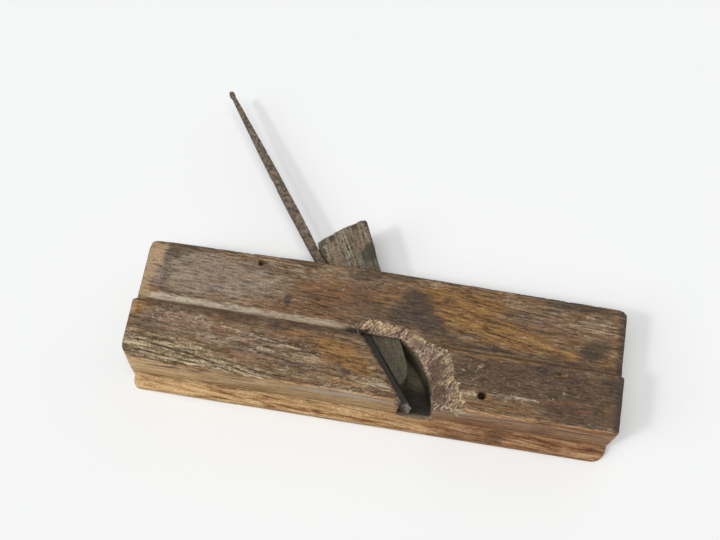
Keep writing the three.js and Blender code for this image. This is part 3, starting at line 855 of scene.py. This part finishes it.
# The bands in which a share rises from nought to one
BANDS = {
    # Millimetres up from the blind side
    "mortise_bottom": (5, 6.5),
    "quirk_bottom": (6.0, 7.2),
    "quirk_top": (8.0, 9.2),
    "mortise_fence": (8, 10),
    "throat_fence": (9, 10),
    "fence_side": (9, 12),
    "chip_top": (9.5, 11),
    "deep_shade_top": (22, 46),
    "lip_foot": (24, 28),
    "torn_foot": (27, 33),
    "mortise_top": (27, 33),
    "throat_top": (30, 44),
    "split_foot": (33, 34.5),
    "grip_face": (33.5, 34.5),
    "riser_face": (35.2, 36.0),
    "body_face": (41, 44),
    # Millimetres down from the top corners
    "heel_top": (0, 6),
    "heel_grip_end": (28, 32),
    "heel_body_end": (40, 48),
    "deep_shade_full": (44, 54),
    "sole_corner": (56, 60),
    "mortise_sole": (59.5, 62),
    "sole_level": (60, 62),
    "fence_level": (62.5, 63.5),
    "mortise_end": (66, 67),
    "fence_underside": (68.6, 69.8),
    # Millimetres down, as if the step ran level
    "cove_top": (27.6, 30.6),
    "cove_foot": (32.2, 33.6),
    "riser_top": (33.0, 34.4),
    "riser_foot": (36.2, 37.2),
    # Millimetres along from the heel
    "cove_start": (1, 7),
    "cove_end": (96, 112),
    "cove_pale_thins": (20, 80),
    "sole_less_pale": (15, 80),
    "sole_reddens": (90, 190),
    "quirk_fades": (30, 130),
    "riser_darkens": (60, 150),
    "eroded_end": (88, 112),
    "rim_start": (110, 116),
    "lip_start": (118, 126),
    "toe_end": (235, 238.5),
    # Millimetres away from an outline
    "ragged_rim": (-0.4, 0.4),
    "off_rim": (1.0, 3.4),
    "off_lip": (1.0, 3.0),
    # How sharply the skin turns outwards, and how far it faces one way
    "stock_edge": (0.05, 0.22),
    "wedge_edge": (0.04, 0.2),
    "facing_up": (0.3, 0.8),
    "facing_sole": (0.25, 0.7),
    "facing_mouth": (0.2, 0.6),
    # The height of a wave between the weathered ridges
    "groove_bottom": (0.25, 0.95),
    # Millimetres up along the bed from the stock's top, and from the iron's foot
    "wedge_crown": (9.0, 12.5),
    "wedge_dark_edge": (6, 10),
    "wedge_out_of_mortise": (-16, -2),
    "iron_out_of_throat": (-40, -6),
    "iron_foot_end": (2.5, 6.5),
}


def past(value, band):
    """How far a value has come through a band: nought before it and one beyond it."""
    return smooth(value, *BANDS[band])


def before(value, band):
    """The opposite: one before a band and nought beyond it."""
    return 1 - past(value, band)


def stock_place(points):
    """Millimetres from the heel, below the top corners and above the blind side."""
    return np.stack([points[:, 0] / MM + LENGTH / 2, TOP_Y - points[:, 1] / MM, points[:, 2] / MM], 1)


def below_step(along, down):
    """How far below the top a point would be if the step ran level with its toe end."""
    return down + STEP_SLANT * (1 - along / LENGTH)


# The weathered corner's upper limit: its place at the heel, where it starts to fall,
# its fall a millimetre, and how far it drops out of the way before the throat
ERODED_TOP = 51.5
ERODED_FALL_START = 28
ERODED_FALL = 0.25
ERODED_DROP = 40
# The limit's soft edge, above it and below it
ERODED_ABOVE = 2.6
ERODED_BELOW = 2.2


def eroded_limit(along):
    """How far down the weathered corner starts."""
    fall = ERODED_FALL * np.maximum(along - ERODED_FALL_START, 0)
    return ERODED_TOP + fall + ERODED_DROP * past(along, "eroded_end")


# The grooves' spacing and lean, and where and how fast the lean grows
GROOVE_SPACING = 2.3
GROOVE_LEAN = 0.10
GROOVE_BEND_START = 20
GROOVE_BEND = 0.0008


def groove_share(along, down, place):
    """Long broken grooves between the weathered ridges, from nought to one."""
    lean = GROOVE_LEAN * along + GROOVE_BEND * np.maximum(along - GROOVE_BEND_START, 0) ** 2
    phase = (down - lean + swing(place, "grooves")) / GROOVE_SPACING
    valley = past(np.cos(2 * math.pi * phase), "groove_bottom")
    return valley * spots(place, "broken_grooves")


# Faces are halved where they look up by this much, this near to the worn places in millimetres,
# and above these heights from the blind side. The weathered corner's detail ends before the throat,
# and a line's reaches this far to either side, where the line is this strong
DETAIL_FACING_UP = 0.3
DETAIL_MARGIN = 1.5
DETAIL_ABOVE = {"eroded": 42, "torn": 26, "lines": 33}
DETAIL_ERODED_END = 100
DETAIL_LINE_HALF = 1.0
DETAIL_LINE_LEAST = 0.1


def needs_detail(points, normals):
    """The torn and weathered places, and the thin lines, need smaller faces."""
    along, down, height = stock_place(points).T
    upward = normals[:, 2] > DETAIL_FACING_UP
    weathered = (down > eroded_limit(along) - DETAIL_MARGIN) & (along < DETAIL_ERODED_END)
    torn = within(along, down, TORN) + (edge_distance(along, down, TORN) < DETAIL_MARGIN) > 0
    wide_lines = [(a, b, DETAIL_LINE_HALF, strength) for a, b, _, strength in DARK_LINES + PALE_LINES]
    lines = strokes(along, down, wide_lines) > DETAIL_LINE_LEAST
    return (
        (weathered & upward & (height > DETAIL_ABOVE["eroded"]))
        | (torn & (height > DETAIL_ABOVE["torn"]))
        | (lines & upward & (height > DETAIL_ABOVE["lines"]))
    )


# The throat's near end along the stock, and how wide the torn wood's ragged rim is
THROAT_START = 111
RAGGED_WIDTH = 2.0


def torn_share(skin):
    """The torn wood round the throat, with its ragged rim, and the frayed mouth."""
    inside = within(skin.along, skin.down, TORN) * (skin.along > THROAT_START)
    inward = np.where(inside > 0, skin.rim_distance, -skin.rim_distance)
    ragged = past(inward + swing(skin.place, "torn_rim"), "ragged_rim")
    inside = np.where(skin.rim_distance < RAGGED_WIDTH, ragged, inside)
    torn = inside * past(skin.height + swing(skin.place, "torn_floor"), "torn_foot")
    frayed = patch(skin.along + swing(skin.place, "frayed_mouth"), skin.height, FRAYED_MOUTH)
    frayed = frayed * past(-skin.normals[:, 1], "facing_mouth") * past(skin.down, "sole_level")
    return np.maximum(torn, frayed)


def lip_share(skin):
    """The throat's ragged lip, inside the torn wood."""
    near = before(edge_distance(skin.along, skin.down, THROAT_LIP), "off_lip")
    return near * past(skin.height, "lip_foot") * past(skin.along, "lip_start")


def sole_share(skin):
    """The sole without its frayed mouth, and the fence beside it."""
    facing_down = past(-skin.normals[:, 1], "facing_sole") * past(skin.down, "sole_corner")
    fence = past(skin.down, "fence_level") * before(skin.height, "fence_side")
    return np.maximum(facing_down * (1 - skin.torn), fence)


def survey_stock(mesh):
    """What the wear depends on at each point: its place, how sharp it is and which way it faces."""
    skin = SimpleNamespace(points=mesh_vectors(mesh, "co"), normals=mesh_vectors(mesh, "normal"))
    skin.place = stock_place(skin.points)
    skin.along, skin.down, skin.height = skin.place.T
    skin.wavy = (
        skin.along + swing(skin.place, "drift_along"),
        skin.down + swing(skin.place, "drift_down"),
    )
    skin.level = below_step(skin.along, skin.down)
    skin.edge = past(convexity(mesh, skin.points), "stock_edge")
    skin.facing_up = past(skin.normals[:, 2], "facing_up")
    skin.open_side = past(skin.height, "grip_face")
    skin.rim_distance = edge_distance(skin.along, skin.down, RIM)
    return skin


def find_wear(skin):
    """Where the stock is eroded, torn, split and scratched, and where the sole is clean."""
    limit = eroded_limit(skin.along)
    skin.eroded = smooth(skin.down, limit - ERODED_ABOVE, limit + ERODED_BELOW)
    skin.eroded *= past(skin.height, "body_face") * skin.facing_up
    skin.groove = groove_share(skin.along, skin.down, skin.place) * skin.eroded
    skin.torn = torn_share(skin)
    skin.lip = lip_share(skin)
    skin.splits = strokes(skin.along, skin.down, SPLITS) * past(skin.height, "split_foot")
    wavering = skin.down + swing(skin.place, "dark_lines")
    skin.dark_lines = strokes(skin.along, wavering, DARK_LINES) * skin.open_side
    skin.sole = sole_share(skin)
    # The fence's underside, which is greyed as painted shade with bounced light
    skin.underside = past(skin.down, "fence_underside")
    skin.plain = skin.open_side * (1 - skin.sole)


# Depths in millimetres, the share of the torn wood's relief that the lip has,
# and how often the torn wood is softened before it
NICK_DEPTH = 0.75
ERODED_DEPTH = 0.15
GROOVE_DEPTH = 0.85
DARK_LINE_DEPTH = 0.3
SPLIT_DEPTH = 1.4
LIP_RELIEF = 0.7
TORN_SOFTENING = 8


def fan_place(skin):
    """Millimetres away from the torn wood's centre, round it and up, so that a pattern fans out."""
    away = skin.along - TORN_CENTRE[0]
    below = skin.down - TORN_CENTRE[1]
    return np.stack([np.hypot(away, below), np.arctan2(below, away) * TORN_TURN_SIZE, skin.height], 1)


def carve_stock(mesh, skin):
    """Weathered ridges, torn fibres, nicked edges and an uneven old surface."""
    softened = neighbour_mean(mesh, skin.points, TORN_SOFTENING)
    points = skin.points + (softened - skin.points) * np.maximum(skin.torn, skin.lip)[:, None]
    depth = swing(skin.place, "uneven_stock") + swing(skin.place, "raised_grain")
    depth -= skin.edge * spots(skin.place, "stock_nicks") * NICK_DEPTH
    depth -= skin.eroded * ERODED_DEPTH + skin.groove * GROOVE_DEPTH
    rough = swing(fan_place(skin), "fanned_fibres") + swing(skin.place, "torn_lumps")
    depth += np.maximum(skin.torn, skin.lip * LIP_RELIEF) * rough
    depth -= (skin.dark_lines * DARK_LINE_DEPTH + skin.splits * SPLIT_DEPTH) * skin.facing_up
    write_points(mesh, points + skin.normals * (depth * MM)[:, None])


# How pale the torn wood is at its rim, and the least that the pale crumbs keep and can gain
RIM_PALE = 0.75
CRUMBS_LEAST = 0.4
CRUMBS_GAIN = 0.7


def torn_shares(skin):
    """The torn wood, its pale rim and crumbs, and its dark hearts."""
    near_rim = before(skin.rim_distance, "off_rim") * past(skin.along, "rim_start")
    pale = np.maximum(RIM_PALE * near_rim, patches(*skin.wavy, CRUMBS))
    return {
        "torn": skin.torn,
        "pale_fibre": skin.torn * pale * (CRUMBS_LEAST + CRUMBS_GAIN * spots(skin.place, "crumb_spots")),
        "torn_heart": skin.torn * patches(*skin.wavy, TORN_HEARTS),
    }


# How dark the painted shade on the toe's edge, the dirt on the arrises and the painted shade on the
# riser under the step are, and how much darker the riser's painted shade gets towards the toe
TOE_SHADE = 0.95
ARRIS_STAIN = 0.7
RISER_SHADE = 0.35
RISER_SHADE_GAIN = 0.3


def stain_and_shade_share(skin):
    """Dark stains on the open side, dirt on the arrises, and painted shade on the toe's edge and on the
    riser under the step.
    """
    arris = skin.edge * skin.open_side * spots(skin.place, "dark_arris") * ARRIS_STAIN
    # The riser under the step: painted shade, darker towards the toe
    riser = past(skin.level, "riser_top") * before(skin.level, "riser_foot")
    riser *= past(skin.height, "riser_face")
    riser *= RISER_SHADE + RISER_SHADE_GAIN * past(skin.along, "riser_darkens")
    return np.maximum.reduce([
        patches(*skin.wavy, STAINS) * skin.plain,
        # The toe's edge: painted shade
        past(skin.along, "toe_end") * TOE_SHADE * skin.plain,
        arris * skin.plain,
        riser * (1 - skin.torn),
    ])


# How strong the pale dust and painted highlight in the cove are at its toe end, and how much stronger at
# the heel
COVE_PALE = 0.68
COVE_PALE_GAIN = 0.27


def cove_share(skin):
    """Pale dust and a painted highlight in the cove under the grip, from the heel to the throat."""
    cove = past(skin.level, "cove_top") * before(skin.level, "cove_foot")
    cove *= past(skin.along, "cove_start") * before(skin.along, "cove_end")
    return cove * (COVE_PALE + COVE_PALE_GAIN * before(skin.along, "cove_pale_thins")) * skin.plain


# The tan band at the heel: its width, how much it narrows a millimetre down, how much wider
# it is at the top, half its soft edge, and its strength on the lower body
HEEL_WIDTH = 7.4
HEEL_NARROWS = 0.12
HEEL_TOP_GAIN = 3.5
HEEL_SOFT = 1.5
HEEL_BODY = 0.8
# How far the band's edge follows the wavy grain, and the share of the pale specks that it loses
HEEL_WAVE = 0.5
HEEL_SPECKS_LOST = 0.6


def heel_shares(skin):
    """The tan band where hands wore the heel, and the pale specks, fewer on that band."""
    width = HEEL_WIDTH - HEEL_NARROWS * skin.down + HEEL_TOP_GAIN * before(skin.down, "heel_top")
    heel = 1 - smooth(HEEL_WAVE * (skin.wavy[0] + skin.along), width - HEEL_SOFT, width + HEEL_SOFT)
    tan = np.maximum(before(skin.down, "heel_grip_end"), HEEL_BODY * before(skin.down, "heel_body_end"))
    return {
        "tan": heel * skin.plain * tan,
        "specked": skin.plain * (1 - HEEL_SPECKS_LOST * heel),
    }


# How grey the faces are that the open side doesn't show
BLIND_GREY = 0.5


def side_shares(skin):
    """The marks on the open side."""
    hidden = BLIND_GREY * (1 - skin.open_side) * (1 - skin.sole)
    return {
        "stains_and_shade": stain_and_shade_share(skin),
        "ochre": patches(*skin.wavy, OCHRES) * skin.plain,
        "reddened": patches(*skin.wavy, REDS) * skin.plain,
        # Grey patches, the hidden faces, and painted shade on the fence's underside
        "greyed": np.maximum.reduce([patches(*skin.wavy, GREYS) * skin.plain, hidden, skin.underside]),
        "darkened": patches(*skin.wavy, DARKS) * skin.plain,
        "cove_dust_and_highlight": cove_share(skin),
        "dust": patches(*skin.wavy, DUSTS) * skin.plain,
        "scuffed": patches(*skin.wavy, SCUFFS) * skin.plain * (1 - skin.eroded),
        "eroded": skin.eroded,
    }


# How much of the clean wood the fence's underside loses to its grey painted shade, and how pale the sole
# is at the heel
UNDERSIDE_LOSS = 0.8
SOLE_PALE = 0.62


def sole_shares(skin):
    """The sole's clean wood, redder to the toe, with its grey patches, pale heel and chip."""
    chipped = patch(skin.along, skin.down, CHIPPED) * before(skin.height, "chip_top")
    pale = SOLE_PALE * before(skin.along, "sole_less_pale")
    return {
        "clean": skin.sole * (1 - UNDERSIDE_LOSS * skin.underside),
        "red_clean": skin.sole * past(skin.along, "sole_reddens"),
        "sole_greyed": patches(skin.along, skin.height, SOLE_GREYS) * skin.sole,
        "sole_pale": np.maximum(pale, chipped) * skin.sole,
    }


# How dark the weathered grooves and the sole's lines are, how dark the painted shade in the groove
# beside the fence is, and how much of it that groove loses towards the toe
GROOVE_DARK = 0.95
SOLE_LINE_DARK = 0.8
QUIRK_DARK = 0.62
QUIRK_LOSS = 0.6


def line_shares(skin):
    """Thin dark and pale lines, on the open side and on the sole, and painted shade in the groove beside
    the fence.
    """
    sole_lines = strokes(skin.along, skin.height + swing(skin.place, "sole_lines"), SOLE_LINES)
    # Painted shade in the groove beside the fence, fading towards the toe
    quirk = past(skin.height, "quirk_bottom") * before(skin.height, "quirk_top")
    quirk *= (1 - QUIRK_LOSS * past(skin.along, "quirk_fades")) * past(skin.down, "sole_level")
    wavering = skin.down + swing(skin.place, "pale_lines")
    return {
        "dark_line": np.maximum.reduce([
            skin.dark_lines,
            skin.groove * GROOVE_DARK,
            sole_lines * skin.sole * SOLE_LINE_DARK,
            quirk * QUIRK_DARK,
        ]),
        "pale_line": strokes(skin.along, wavering, PALE_LINES) * skin.open_side,
    }


# How dark the painted shade is at the top of the mortise, and how much darker deep in it
DEEP_SHADE_LEAST = 0.45
DEEP_SHADE_GAIN = 0.55


def throat_shares(skin):
    """Grime with painted shade in the throat and the mortise, and darker painted shade deep in them, in
    the splits and in the holes.
    """
    along, down, height = skin.place.T
    throat = within(along, down, ESCAPEMENT) * before(height, "throat_top")
    throat *= 1 - past(down, "sole_level") * before(height, "throat_fence")
    mortise = within(along, down, MORTISE) * before(height, "mortise_top")
    mortise *= past(height, "mortise_bottom") * before(down, "mortise_end")
    mortise *= 1 - past(down, "mortise_sole") * before(height, "mortise_fence")
    # Grime with painted shade over the throat's and the mortise's walls
    grime_and_shade = np.maximum(throat, mortise)
    # Painted shade, darker towards the mouth and lower below the open face
    painted_deep_shade = grime_and_shade * (DEEP_SHADE_LEAST + DEEP_SHADE_GAIN * past(down, "deep_shade_full")) * before(height, "deep_shade_top")
    # The holes are painted black inside as shade
    holes = patches(along, down, HOLES) * skin.open_side
    return {"grime_and_shade": grime_and_shade, "painted_deep_shade": np.maximum.reduce([painted_deep_shade, skin.splits, holes])}


def make_stock(material):
    """The stock: its skin is refined where it needs detail, carved, and marked for its finish."""
    piece = fine_copy("stock", "stock_wood", STOCK_SKIN)
    mesh = piece.data
    refine(mesh, needs_detail)
    skin = survey_stock(mesh)
    find_wear(skin)
    carve_stock(mesh, skin)
    for shares_of in (torn_shares, side_shares, heel_shares, sole_shares, line_shares, throat_shares):
        write_shares(mesh, shares_of(skin))
    mesh.materials.append(material)
    return piece


# The torn wood's fibres

# How many stand on a square metre at the most, and their sizes in millimetres.
# Real ones are finer: these are drawn thicker at the root, so that they show
FIBRES_PER_AREA = 1000000.0
FIBRE_LENGTH = 4.4
FIBRE_THICKNESS = 0.24
FIBRE_TIP = 0.03
FIBRE_BEND = 0.9
FIBRE_BEND_SIZE = 2.2
FIBRE_SIDES = 5
# They stand on skin that is torn at least this much and lies above the lowest height from the
# blind side. They are levelled off at the highest, and point away from the torn wood's centre
FIBRE_TORN_LEAST = 0.9
FIBRE_LOWEST = 34.5
FIBRE_HIGHEST = 46.5
FIBRE_CENTRE_HEIGHT = 38.0
# The share of them that stands where the wood is brown and where it is pale, how far they stray
# and differ in size, and how light the brown wood's and the pale wood's fibres are
PALE_START = 0.1
CROWDED_FULL = 0.8
CROWDED_SHARES = (0.16, 0.72)
FIBRE_STRAY = ((-0.6, -0.6, -0.35), (0.6, 0.6, 0.15))
FIBRE_SIZES = (0.25, 1.25)
LIGHT_FULL = 0.7
LIGHT_SHARES = (0.6, 1.0)
FIBRE_SEEDS = {"spread": 5, "stray": 6, "size": 7, "tint": 8}


def spread_fibres(tree, given, pale):
    """Points on the surface, close together where the wood is pale."""
    brown_share, pale_share = CROWDED_SHARES
    share = add(tree, "ShaderNodeMapRange", inputs={
        "Value": pale, "From Min": PALE_START, "From Max": CROWDED_FULL,
        "To Min": brown_share, "To Max": pale_share})
    density = add(tree, "ShaderNodeMath", {"operation": "MULTIPLY"}, {
        0: share.outputs[0], 1: given["Density"]})
    spread = add(tree, "GeometryNodeDistributePointsOnFaces", inputs={
        "Mesh": given["Geometry"], "Density": density.outputs[0], "Seed": FIBRE_SEEDS["spread"]})
    return spread.outputs["Points"]


def stand_fibres(tree, given, points):
    """A pointed fibre on each point, leaning away from the throat and straying a little."""
    fibre = add(tree, "GeometryNodeMeshCone", inputs={
        "Vertices": FIBRE_SIDES, "Side Segments": FIBRE_SIDES, "Radius Top": FIBRE_TIP * MM,
        "Radius Bottom": given["Thickness"], "Depth": given["Length"]})
    centre = (
        (TORN_CENTRE[0] - LENGTH / 2) * MM,
        (TOP_Y - TORN_CENTRE[1]) * MM,
        FIBRE_CENTRE_HEIGHT * MM,
    )
    place = add(tree, "GeometryNodeInputPosition").outputs[0]
    away = add(tree, "ShaderNodeVectorMath", {"operation": "SUBTRACT"}, {0: place, 1: centre})
    away = add(tree, "ShaderNodeVectorMath", {"operation": "NORMALIZE"}, {0: away.outputs[0]})
    least, most = FIBRE_STRAY
    stray = add(tree, "FunctionNodeRandomValue", {"data_type": "FLOAT_VECTOR"}, {
        0: least, 1: most, "Seed": FIBRE_SEEDS["stray"]})
    way = add(tree, "ShaderNodeVectorMath", {"operation": "ADD"}, {
        0: away.outputs[0], 1: stray.outputs[0]})
    turn = add(tree, "FunctionNodeAlignRotationToVector", {"axis": "Z"}, {"Vector": way.outputs[0]})
    smallest, largest = FIBRE_SIZES
    size = add(tree, "FunctionNodeRandomValue", {"data_type": "FLOAT"}, {
        2: smallest, 3: largest, "Seed": FIBRE_SEEDS["size"]})
    return add(tree, "GeometryNodeInstanceOnPoints", inputs={
        "Points": points, "Instance": fibre.outputs["Mesh"],
        "Rotation": turn.outputs[0], "Scale": size.outputs[1]}).outputs[0]


def tint_fibres(tree, fibres, pale):
    """A tint of its own for each fibre, darker where the wood is brown."""
    chance = add(tree, "FunctionNodeRandomValue", {"data_type": "FLOAT"}, {
        2: 0.0, 3: 1.0, "Seed": FIBRE_SEEDS["tint"]})
    brown_light, pale_light = LIGHT_SHARES
    lightness = add(tree, "ShaderNodeMapRange", inputs={
        "Value": pale, "From Min": PALE_START, "From Max": LIGHT_FULL,
        "To Min": brown_light, "To Max": pale_light})
    tint = add(tree, "ShaderNodeMath", {"operation": "MULTIPLY"}, {
        0: chance.outputs[1], 1: lightness.outputs[0]})
    return add(tree, "GeometryNodeStoreNamedAttribute", {"data_type": "FLOAT", "domain": "INSTANCE"}, {
        "Geometry": fibres, "Name": "tint", "Value": tint.outputs[0]}).outputs[0]


def bend_fibres(tree, fibres, bend):
    """The fibres as one mesh, each bent by smooth noise."""
    real = add(tree, "GeometryNodeRealizeInstances", inputs={"Geometry": fibres})
    waves = add(tree, "ShaderNodeTexNoise", inputs={
        "Scale": 1 / (FIBRE_BEND_SIZE * MM), "Detail": 1.0})
    waves = add(tree, "ShaderNodeVectorMath", {"operation": "SUBTRACT"}, {
        0: waves.outputs["Color"], 1: (0.5, 0.5, 0.5)})
    waves = add(tree, "ShaderNodeVectorMath", {"operation": "SCALE"}, {
        0: waves.outputs[0], "Scale": bend})
    return add(tree, "GeometryNodeSetPosition", inputs={
        "Geometry": real.outputs[0], "Offset": waves.outputs[0]}).outputs[0]


def fibre_nodes():
    """Scatters bent, pointed fibres over a surface, pointing away from the throat."""
    tree = bpy.data.node_groups.new("scatter_fibres", "GeometryNodeTree")
    tree.interface.new_socket("Geometry", in_out="OUTPUT", socket_type="NodeSocketGeometry")
    sockets = {
        "Geometry": "NodeSocketGeometry",
        "Density": "NodeSocketFloat",
        "Length": "NodeSocketFloat",
        "Thickness": "NodeSocketFloat",
        "Bend": "NodeSocketFloat",
        "Material": "NodeSocketMaterial",
    }
    for name, kind in sockets.items():
        tree.interface.new_socket(name, in_out="INPUT", socket_type=kind)
    given = add(tree, "NodeGroupInput").outputs
    pale = add(tree, "GeometryNodeInputNamedAttribute", {"data_type": "FLOAT"}, {
        "Name": "pale_fibre"}).outputs[0]
    points = spread_fibres(tree, given, pale)
    fibres = stand_fibres(tree, given, points)
    fibres = tint_fibres(tree, fibres, pale)
    fibres = bend_fibres(tree, fibres, given["Bend"])
    done = add(tree, "GeometryNodeSetMaterial", inputs={
        "Geometry": fibres, "Material": given["Material"]})
    add(tree, "NodeGroupOutput", inputs={"Geometry": done.outputs[0]})
    return tree


def torn_surface(stock):
    """A copy of the stock's skin with nothing left but its torn faces."""
    mesh = stock.data.copy()
    body = bmesh.new()
    body.from_mesh(mesh)
    torn = body.verts.layers.float["torn"]
    spare = [
        face for face in body.faces
        if min(vert[torn] for vert in face.verts) < FIBRE_TORN_LEAST
        or face.calc_center_median().z < FIBRE_LOWEST * MM
    ]
    bmesh.ops.delete(body, geom=spare, context="FACES")
    body.to_mesh(mesh)
    body.free()
    mesh.materials.clear()
    mesh.name = "torn_fibres"
    return mesh


def make_fibres(stock, material):
    """Fibres standing out of the torn wood beside the throat."""
    piece = bpy.data.objects.new("torn_fibres", torn_surface(stock))
    bpy.context.scene.collection.objects.link(piece)
    tree = fibre_nodes()
    scatter = piece.modifiers.new("scatter", "NODES")
    scatter.node_group = tree
    values = {
        "Density": FIBRES_PER_AREA,
        "Length": FIBRE_LENGTH * MM,
        "Thickness": FIBRE_THICKNESS * MM,
        "Bend": FIBRE_BEND * MM,
        "Material": material,
    }
    for item in tree.interface.items_tree:
        if item.name in values:
            scatter[item.identifier] = values[item.name]
    graph = bpy.context.evaluated_depsgraph_get()
    finished = bpy.data.meshes.new_from_object(piece.evaluated_get(graph))
    piece.modifiers.clear()
    piece.data = finished
    points = mesh_vectors(finished, "co")
    points[:, 2] = np.minimum(points[:, 2], FIBRE_HIGHEST * MM)
    write_points(finished, points)
    shade_smooth(finished)
    return piece


# Iron and wedge

def bed_place(points):
    """Millimetres away from the bed, up along it from the top, and above the blind side."""
    x = points[:, 0] / MM + LENGTH / 2 - BED_FROM_HEEL
    y = points[:, 1] / MM - TOP_Y
    c, s = math.cos(BED_TURN), math.sin(BED_TURN)
    return np.stack([x * c + y * s, y * c - x * s, points[:, 2] / MM], 1)


# Depths in millimetres, and the strength of the painted shade on the crown and on the upper edges
WEDGE_NICK_DEPTH = 0.7
CROWN_DEPTH = 1.3
CROWN_SHADE = 0.8
WEDGE_EDGE_SHADE = 0.75
# Darker patches on the wedge where it enters the stock: millimetres away from the bed and up from the
# stock's top, then the radii, the lean and the strength
WEDGE_STAINS = [((26, -4), (6.5, 4.4), 0.5, 1.0), ((22, -2.5), (10, 1.6), 0.0, 0.6)]


def make_wedge(material):
    """The wedge, with its battered crown, painted shade on the crown and upper edges, darker patches
    where it enters the stock, and painted shade with grime inside the mortise.
    """
    piece = fine_copy("wedge", "wedge_wood", WEDGE_SKIN)
    mesh = piece.data
    points = mesh_vectors(mesh, "co")
    normals = mesh_vectors(mesh, "normal")
    place = bed_place(points)
    across, up, _ = place.T
    edge = past(convexity(mesh, points), "wedge_edge")
    crown = past(up, "wedge_crown")
    depth = swing(place, "uneven_wedge") + swing(place, "wedge_grain")
    depth -= edge * WEDGE_NICK_DEPTH * spots(place, "wedge_nicks")
    battered = crown * CROWN_DEPTH * spots(place, "crown_fray")
    up_the_bed = np.array([-math.sin(BED_TURN), math.cos(BED_TURN), 0])
    moved = points + normals * (depth * MM)[:, None] - up_the_bed * (battered * MM)[:, None]
    write_points(mesh, moved)
    write_shares(mesh, {
        "stains_and_shade": np.maximum.reduce([
            patches(across, up, WEDGE_STAINS),
            # Painted shade on the battered crown and on the upper edges
            CROWN_SHADE * crown * spots(place, "crown_shade_spots"),
            WEDGE_EDGE_SHADE * edge * past(up, "wedge_dark_edge"),
        ]),
        # Painted shade with grime inside the mortise
        "grime_and_shade": before(up, "wedge_out_of_mortise"),
    })
    mesh.materials.append(material)
    return piece


# How deep the rust's pits are in millimetres, how much of the grime and painted shade the foot loses and
# how bare it is
PIT_DEPTH = 0.30
FOOT_GRIME_AND_SHADE_LOSS = 0.5
FOOT_BARE = 0.52


def make_iron(material):
    """The iron, forged by hand: uneven and pitted, with grime and painted shade inside the throat, and
    its foot worn bright.
    """
    piece = fine_copy("iron", "iron_blade", IRON_SKIN)
    mesh = piece.data
    points = mesh_vectors(mesh, "co")
    normals = mesh_vectors(mesh, "normal")
    place = bed_place(points)
    up = place[:, 1]
    depth = swing(place, "hammered_iron") - PIT_DEPTH * spots(place, "rust_pits")
    write_points(mesh, points + normals * (depth * MM)[:, None])
    foot = before(up - up.min(), "iron_foot_end")
    write_shares(mesh, {
        # Painted shade with grime on the iron inside the throat, less at the worn foot
        "grime_and_shade": before(up, "iron_out_of_throat") * (1 - FOOT_GRIME_AND_SHADE_LOSS * foot),
        "bare": foot * FOOT_BARE,
    })
    mesh.materials.append(material)
    return piece


# Assembly

place_camera()
make_studio()
stock = make_stock(stock_finish())
fibres = make_fibres(stock, fibre_finish())
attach(fibres, "stock")
pieces = [
    (stock, "stock", "stock_wood"),
    (make_iron(iron_finish()), "iron", "rusty_iron"),
    (make_wedge(wedge_finish()), "wedge", "wedge_wood"),
]
for piece, node, slot in pieces:
    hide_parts(node)
    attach(piece, node)

bpy.context.scene.view_settings.view_transform = "Standard"
